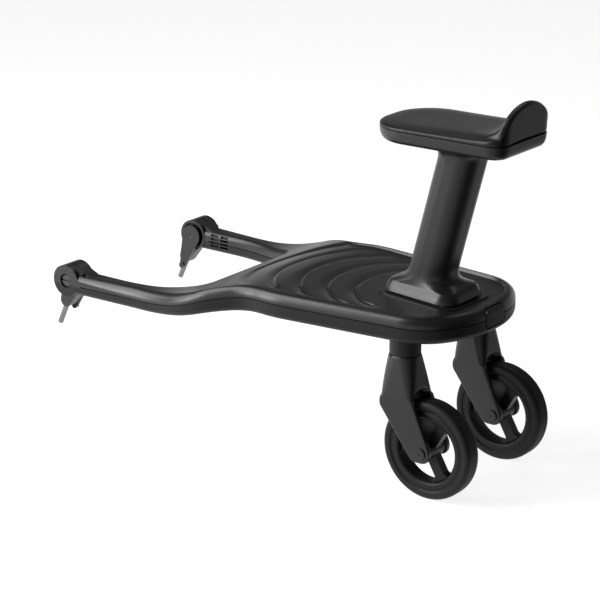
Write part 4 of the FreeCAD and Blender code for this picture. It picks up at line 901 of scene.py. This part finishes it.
def moulded_finish(name, colour, gloss, drift, grain_scale, bump, scuffed, specular=0.5, metallic=0.0):
    """A moulded or turned surface: drifting gloss, fine grain in colour and bump, and rubbed streaks."""
    material = bpy.data.materials.new(name)
    material.use_nodes = True
    tree = material.node_tree
    shader = tree.nodes["Principled BSDF"]
    shader.inputs["Metallic"].default_value = metallic
    shader.inputs["Specular IOR Level"].default_value = specular
    surface = add(tree, "ShaderNodeGroup", {"node_tree": grain},
                  {"Grain Scale": grain_scale, "Gloss": gloss, "Drift": drift})
    rubbed = add(tree, "ShaderNodeGroup", {"node_tree": scuffs}, {"Amount": scuffed})
    ramp = add(tree, "ShaderNodeValToRGB")
    ramp.color_ramp.elements[0].color = (*[c * GRAIN_DARK for c in colour], 1)
    ramp.color_ramp.elements[1].color = (*[c * GRAIN_LIGHT for c in colour], 1)
    worn = add(tree, "ShaderNodeMix", {"data_type": "RGBA"})
    lift = 0.0 if metallic else RUBBED_LIFT
    gain = RUBBED_METAL if metallic else RUBBED_GAIN
    worn.inputs["B"].default_value = (*[lift + gain * c for c in colour], 1)
    rougher = add(tree, "ShaderNodeMath", {"operation": "MULTIPLY_ADD"}, {1: RUBBED_DULL})
    raised = add(tree, "ShaderNodeBump", values={"Strength": bump, "Distance": GRAIN_DEPTH})
    link = tree.links.new
    link(surface.outputs["Height"], ramp.inputs["Fac"])
    link(rubbed.outputs["Mask"], worn.inputs["Factor"])
    link(ramp.outputs["Color"], worn.inputs["A"])
    link(worn.outputs["Result"], shader.inputs["Base Color"])
    link(rubbed.outputs["Mask"], rougher.inputs[0])
    link(surface.outputs["Roughness"], rougher.inputs[2])
    link(rougher.outputs[0], shader.inputs["Roughness"])
    link(surface.outputs["Height"], raised.inputs["Height"])
    link(raised.outputs["Normal"], shader.inputs["Normal"])
    return material


def pebbled_skin(name, colour, gloss):
    """Foam skin: rounded pebbles from a smooth cell pattern, with painted shade in the valleys between them.
    """
    material = bpy.data.materials.new(name)
    material.use_nodes = True
    tree = material.node_tree
    shader = tree.nodes["Principled BSDF"]
    shader.inputs["Specular IOR Level"].default_value = 0.42
    surface = add(tree, "ShaderNodeGroup", {"node_tree": grain},
                  {"Grain Scale": 2200.0, "Gloss": gloss, "Drift": 0.14})
    place = add(tree, "ShaderNodeTexCoord")
    cells = add(tree, "ShaderNodeTexVoronoi", {"feature": "SMOOTH_F1"}, {"Scale": 620.0, "Smoothness": 0.6})
    domes_and_valley_shade = add(tree, "ShaderNodeMapRange",
                values={"From Min": 0.15, "From Max": 0.6, "To Min": 1.0, "To Max": 0.0})
    # Painted shade: the skin's colour runs from darker in the valleys between pebbles to lighter on their
    # tops
    ramp = add(tree, "ShaderNodeValToRGB")
    ramp.color_ramp.elements[0].color = (*[c * PEBBLE_VALLEY_SHADE for c in colour], 1)
    ramp.color_ramp.elements[1].color = (*[c * PEBBLE_TOP_LIGHT for c in colour], 1)
    both = add(tree, "ShaderNodeMath", {"operation": "MULTIPLY_ADD"}, {1: PEBBLE_GRAIN})
    raised = add(tree, "ShaderNodeBump", values={"Strength": PEBBLE_BUMP, "Distance": PEBBLE_DEPTH})
    link = tree.links.new
    link(place.outputs["Object"], cells.inputs["Vector"])
    link(cells.outputs["Distance"], domes_and_valley_shade.inputs["Value"])
    link(domes_and_valley_shade.outputs["Result"], ramp.inputs["Fac"])
    link(ramp.outputs["Color"], shader.inputs["Base Color"])
    link(surface.outputs["Roughness"], shader.inputs["Roughness"])
    link(surface.outputs["Height"], both.inputs[0])
    link(domes_and_valley_shade.outputs["Result"], both.inputs[2])
    link(both.outputs[0], raised.inputs["Height"])
    link(raised.outputs["Normal"], shader.inputs["Normal"])
    return material


def smoothing():
    """Joins a CAD node's loose triangles and shades them smooth, except across edges that turn sharply."""
    group = bpy.data.node_groups.new("smooth_by_angle", "GeometryNodeTree")
    group.interface.new_socket("Geometry", in_out="INPUT", socket_type="NodeSocketGeometry")
    group.interface.new_socket("Geometry", in_out="OUTPUT", socket_type="NodeSocketGeometry")
    entry = add(group, "NodeGroupInput")
    leave = add(group, "NodeGroupOutput")
    weld = add(group, "GeometryNodeMergeByDistance", values={"Distance": JOIN_DISTANCE})
    faces = add(group, "GeometryNodeSetShadeSmooth", {"domain": "FACE"})
    edges = add(group, "GeometryNodeSetShadeSmooth", {"domain": "EDGE"}, {"Shade Smooth": False})
    angle = add(group, "GeometryNodeInputMeshEdgeAngle")
    sharp = add(group, "FunctionNodeCompare", {"operation": "GREATER_THAN"}, {"B": CAD_ANGLE})
    link = group.links.new
    link(entry.outputs[0], weld.inputs["Geometry"])
    link(weld.outputs["Geometry"], faces.inputs["Geometry"])
    link(faces.outputs["Geometry"], edges.inputs["Geometry"])
    link(angle.outputs["Unsigned Angle"], sharp.inputs["A"])
    link(sharp.outputs["Result"], edges.inputs["Selection"])
    link(edges.outputs["Geometry"], leave.inputs[0])
    return group


def finish_mesh(made, material, group):
    """A CAD node's mesh, or a copy, gets a finish, smooth shading and normals weighted by face area."""
    made.data.materials.clear()
    made.data.materials.append(material)
    made.modifiers.new("smooth", "NODES").node_group = group
    weighted = made.modifiers.new("weighted", "WEIGHTED_NORMAL")
    weighted.keep_sharp = True


# Floor, light and camera


def seen_rays(tree):
    """One where a ray comes from the camera, a reflection or through glass, and nought elsewhere."""
    path = add(tree, "ShaderNodeLightPath")
    first = add(tree, "ShaderNodeMath", {"operation": "MAXIMUM"})
    second = add(tree, "ShaderNodeMath", {"operation": "MAXIMUM"})
    tree.links.new(path.outputs["Is Camera Ray"], first.inputs[0])
    tree.links.new(path.outputs["Is Glossy Ray"], first.inputs[1])
    tree.links.new(first.outputs[0], second.inputs[0])
    tree.links.new(path.outputs["Is Transmission Ray"], second.inputs[1])
    return second.outputs[0]


def studio_floor():
    """A wide floor that looks white to the camera, and lights the object only as pale paper does."""
    mesh = bpy.data.meshes.new("studio_floor")
    corner = np.array([(-1, -1), (1, -1), (1, 1), (-1, 1)]) * FLOOR_HALF_SIZE
    mesh.from_pydata(np.concatenate([corner, np.zeros((4, 1))], axis=1).tolist(), [], [(0, 1, 2, 3)])
    floor = bpy.data.objects.new("studio_floor", mesh)
    bpy.context.scene.collection.objects.link(floor)
    material = bpy.data.materials.new("floor_paper")
    material.use_nodes = True
    tree = material.node_tree
    shader = tree.nodes["Principled BSDF"]
    shader.inputs["Base Color"].default_value = (FLOOR_TONE, FLOOR_TONE, FLOOR_TONE, 1)
    shader.inputs["Roughness"].default_value = 0.95
    shader.inputs["Specular IOR Level"].default_value = 0.1
    shader.inputs["Emission Color"].default_value = (1, 1, 1, 1)
    lift = add(tree, "ShaderNodeMath", {"operation": "MULTIPLY"}, {1: FLOOR_LIFT})
    tree.links.new(seen_rays(tree), lift.inputs[0])
    tree.links.new(lift.outputs[0], shader.inputs["Emission Strength"])
    mesh.materials.append(material)


def studio_world():
    """A white sweep round the horizon that darkens overhead, where only the lamps shine."""
    world = bpy.data.worlds.new("studio")
    bpy.context.scene.world = world
    world.use_nodes = True
    tree = world.node_tree
    place = add(tree, "ShaderNodeTexCoord")
    split = add(tree, "ShaderNodeSeparateXYZ")
    ramp = add(tree, "ShaderNodeValToRGB")
    ramp.color_ramp.elements[0].position = SWEEP_WHITE_TO
    ramp.color_ramp.elements[0].color = (1, 1, 1, 1)
    ramp.color_ramp.elements[1].position = SWEEP_DARK_FROM
    ramp.color_ramp.elements[1].color = (SWEEP_DARK_TONE, SWEEP_DARK_TONE, SWEEP_DARK_TONE, 1)
    link = tree.links.new
    link(place.outputs["Generated"], split.inputs[0])
    link(split.outputs["Z"], ramp.inputs["Fac"])
    link(ramp.outputs["Color"], tree.nodes["Background"].inputs["Color"])


def softbox(name, direction, distance, size, power):
    """A square lamp that faces the object's middle from one direction."""
    lamp = bpy.data.lights.new(name, "AREA")
    lamp.shape = "SQUARE"
    lamp.size = size
    lamp.energy = power
    made = bpy.data.objects.new(name, lamp)
    bpy.context.scene.collection.objects.link(made)
    made.location = LAMP_AIM + Vector(direction).normalized() * distance
    made.rotation_euler = (LAMP_AIM - made.location).to_track_quat("-Z", "Y").to_euler()


def reflected_card():
    """A card right of the picture that only reflections see: it shades round edges from pale to dark.

    Its rows follow circles round the seat post, on the floor and then up, and its tone follows the angle.
    """
    turn = np.radians(np.linspace(CARD_ANGLES[0], CARD_ANGLES[-1], CARD_STEPS))
    rows = [(CARD_INNER, CARD_LIFT), (CARD_OUTER, CARD_LIFT), (CARD_OUTER, CARD_HEIGHT)]
    grid = np.stack([np.c_[AXLE_X + far * np.cos(turn), far * np.sin(turn), np.full(CARD_STEPS, up)]
                     for far, up in rows])
    faces = []
    for row in range(len(rows) - 1):
        for column in range(CARD_STEPS - 1):
            first = row * CARD_STEPS + column
            above = first + CARD_STEPS
            faces.append((first, first + 1, above + 1, above))
    mesh = bpy.data.meshes.new("reflected_card")
    mesh.from_pydata(grid.reshape(-1, 3).tolist(), [], faces)
    tone = mesh.color_attributes.new("tone", "FLOAT_COLOR", "POINT")
    shade = np.interp(np.degrees(turn), CARD_ANGLES, CARD_TONES)
    colours = np.repeat(np.tile(shade, len(rows))[:, None], 4, axis=1)
    colours[:, 3] = 1
    tone.data.foreach_set("color", colours.ravel())
    card = bpy.data.objects.new("reflected_card", mesh)
    bpy.context.scene.collection.objects.link(card)
    material = bpy.data.materials.new("card_tone")
    material.use_nodes = True
    tree = material.node_tree
    shader = tree.nodes["Principled BSDF"]
    shader.inputs["Base Color"].default_value = (0, 0, 0, 1)
    shader.inputs["Specular IOR Level"].default_value = 0.0
    shader.inputs["Emission Strength"].default_value = 1.0
    attribute = add(tree, "ShaderNodeAttribute", {"attribute_name": "tone"})
    tree.links.new(attribute.outputs["Color"], shader.inputs["Emission Color"])
    mesh.materials.append(material)
    card.visible_camera = False
    card.visible_diffuse = False
    card.visible_shadow = False


def studio_camera():
    """The camera at the photograph's place, upright and looking along its view direction."""
    data = bpy.data.cameras.new("view")
    data.sensor_width = FILM_GATE
    data.lens = LENS
    data.clip_end = CLIP_END
    camera = bpy.data.objects.new("view", data)
    bpy.context.scene.collection.objects.link(camera)
    side = LOOK.cross(Vector((0, 0, 1))).normalized()
    up = side.cross(LOOK)
    turned = Matrix((side, up, -LOOK)).transposed().to_4x4()
    camera.matrix_world = Matrix.Translation(EYE) @ turned
    bpy.context.scene.camera = camera


grain = moulded_grain()
scuffs = handling_scuffs()
finishes = {
    "black_plastic": moulded_finish(
        "satin_black_plastic", colour=(0.0105, 0.0105, 0.0108), gloss=0.33, drift=0.1,
        grain_scale=1500.0, bump=0.12, scuffed=0.25),
    "rim_plastic": moulded_finish(
        "rim_black_plastic", colour=(0.008, 0.008, 0.0083), gloss=0.42, drift=0.1,
        grain_scale=1500.0, bump=0.12, scuffed=0.3, specular=0.25),
    "bearing_plastic": moulded_finish(
        "bearing_black_plastic", colour=(0.02, 0.02, 0.02), gloss=0.5, drift=0.1,
        grain_scale=1500.0, bump=0.08, scuffed=0.1),
    "tyre": moulded_finish(
        "tyre_rubber", colour=(0.005, 0.005, 0.005), gloss=0.56, drift=0.16,
        grain_scale=900.0, bump=0.3, scuffed=0.35, specular=0.3),
    "pad": pebbled_skin("pad_skin", colour=(0.0045, 0.0045, 0.0047), gloss=0.36),
    "steel": moulded_finish(
        "bright_steel", colour=(0.2, 0.2, 0.205), gloss=0.32, drift=0.14,
        grain_scale=600.0, bump=0.08, scuffed=0.5, metallic=1.0),
}
tray_finish = moulded_finish(
    "tray_black_plastic", colour=(0.0075, 0.0075, 0.0078), gloss=0.46, drift=0.1,
    grain_scale=1100.0, bump=0.2, scuffed=0.25, specular=0.3)
blackened = moulded_finish(
    "blackened_steel", colour=(0.03, 0.03, 0.031), gloss=0.45, drift=0.1,
    grain_scale=900.0, bump=0.1, scuffed=0.3)

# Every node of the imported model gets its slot's finish, and three of them their own
slots = {row["node"]: row["material_slot"] for row in record["subparts"]}
bodies = {node: body for body, held in record["behaviour"]["bodies"].items() for node in held}
smooth = smoothing()
own_finish = {"left_pivot_bolt": blackened, "right_pivot_bolt": blackened, "release_button": tray_finish}
for node in nodes:
    finish_mesh(nodes[node], own_finish.get(node, finishes[slots[node]]), smooth)

# Deck cover and tray, cut from copies of the two shells, and the tread
shared_cuts = [button_gap()] + vent_slots()
cover_cuts = [rounded_band(), tread_bed()] + parting_grooves() + shared_cuts
deck_finish = finishes["black_plastic"]
carved("deck_cover", "deck_upper_shell", cover_cuts, deck_finish, smooth)
carved("deck_tray", "deck_lower_shell", shared_cuts, tray_finish, smooth)
for form in cover_cuts:
    bpy.data.objects.remove(form)
tread(deck_finish)

# Saddle, post, wheels and forks
pad = saddle_pad(finishes["pad"])
saddle_shell(deck_finish)
seat_post(deck_finish)
for side in (1, -1):
    tyre(side, finishes["tyre"])
    rim_ring(side, finishes["rim_plastic"])
for name in ("left", "right"):
    fork = softened(name + "_fork_casting", name + "_fork", bodies[name + "_fork"], deck_finish)

# Studio
studio_floor()
studio_world()
softbox("key_upper_left", direction=(0.57, 0.45, 0.68), distance=2.2, size=1.6, power=46.0)
softbox("low_left", direction=(0.573, 0.783, 0.26), distance=2.2, size=0.9, power=30.0)
softbox("top_back", direction=(0.1, -0.5, 1.0), distance=2.6, size=1.4, power=9.0)
reflected_card()
studio_camera()
bpy.context.scene.view_settings.view_transform = "Standard"
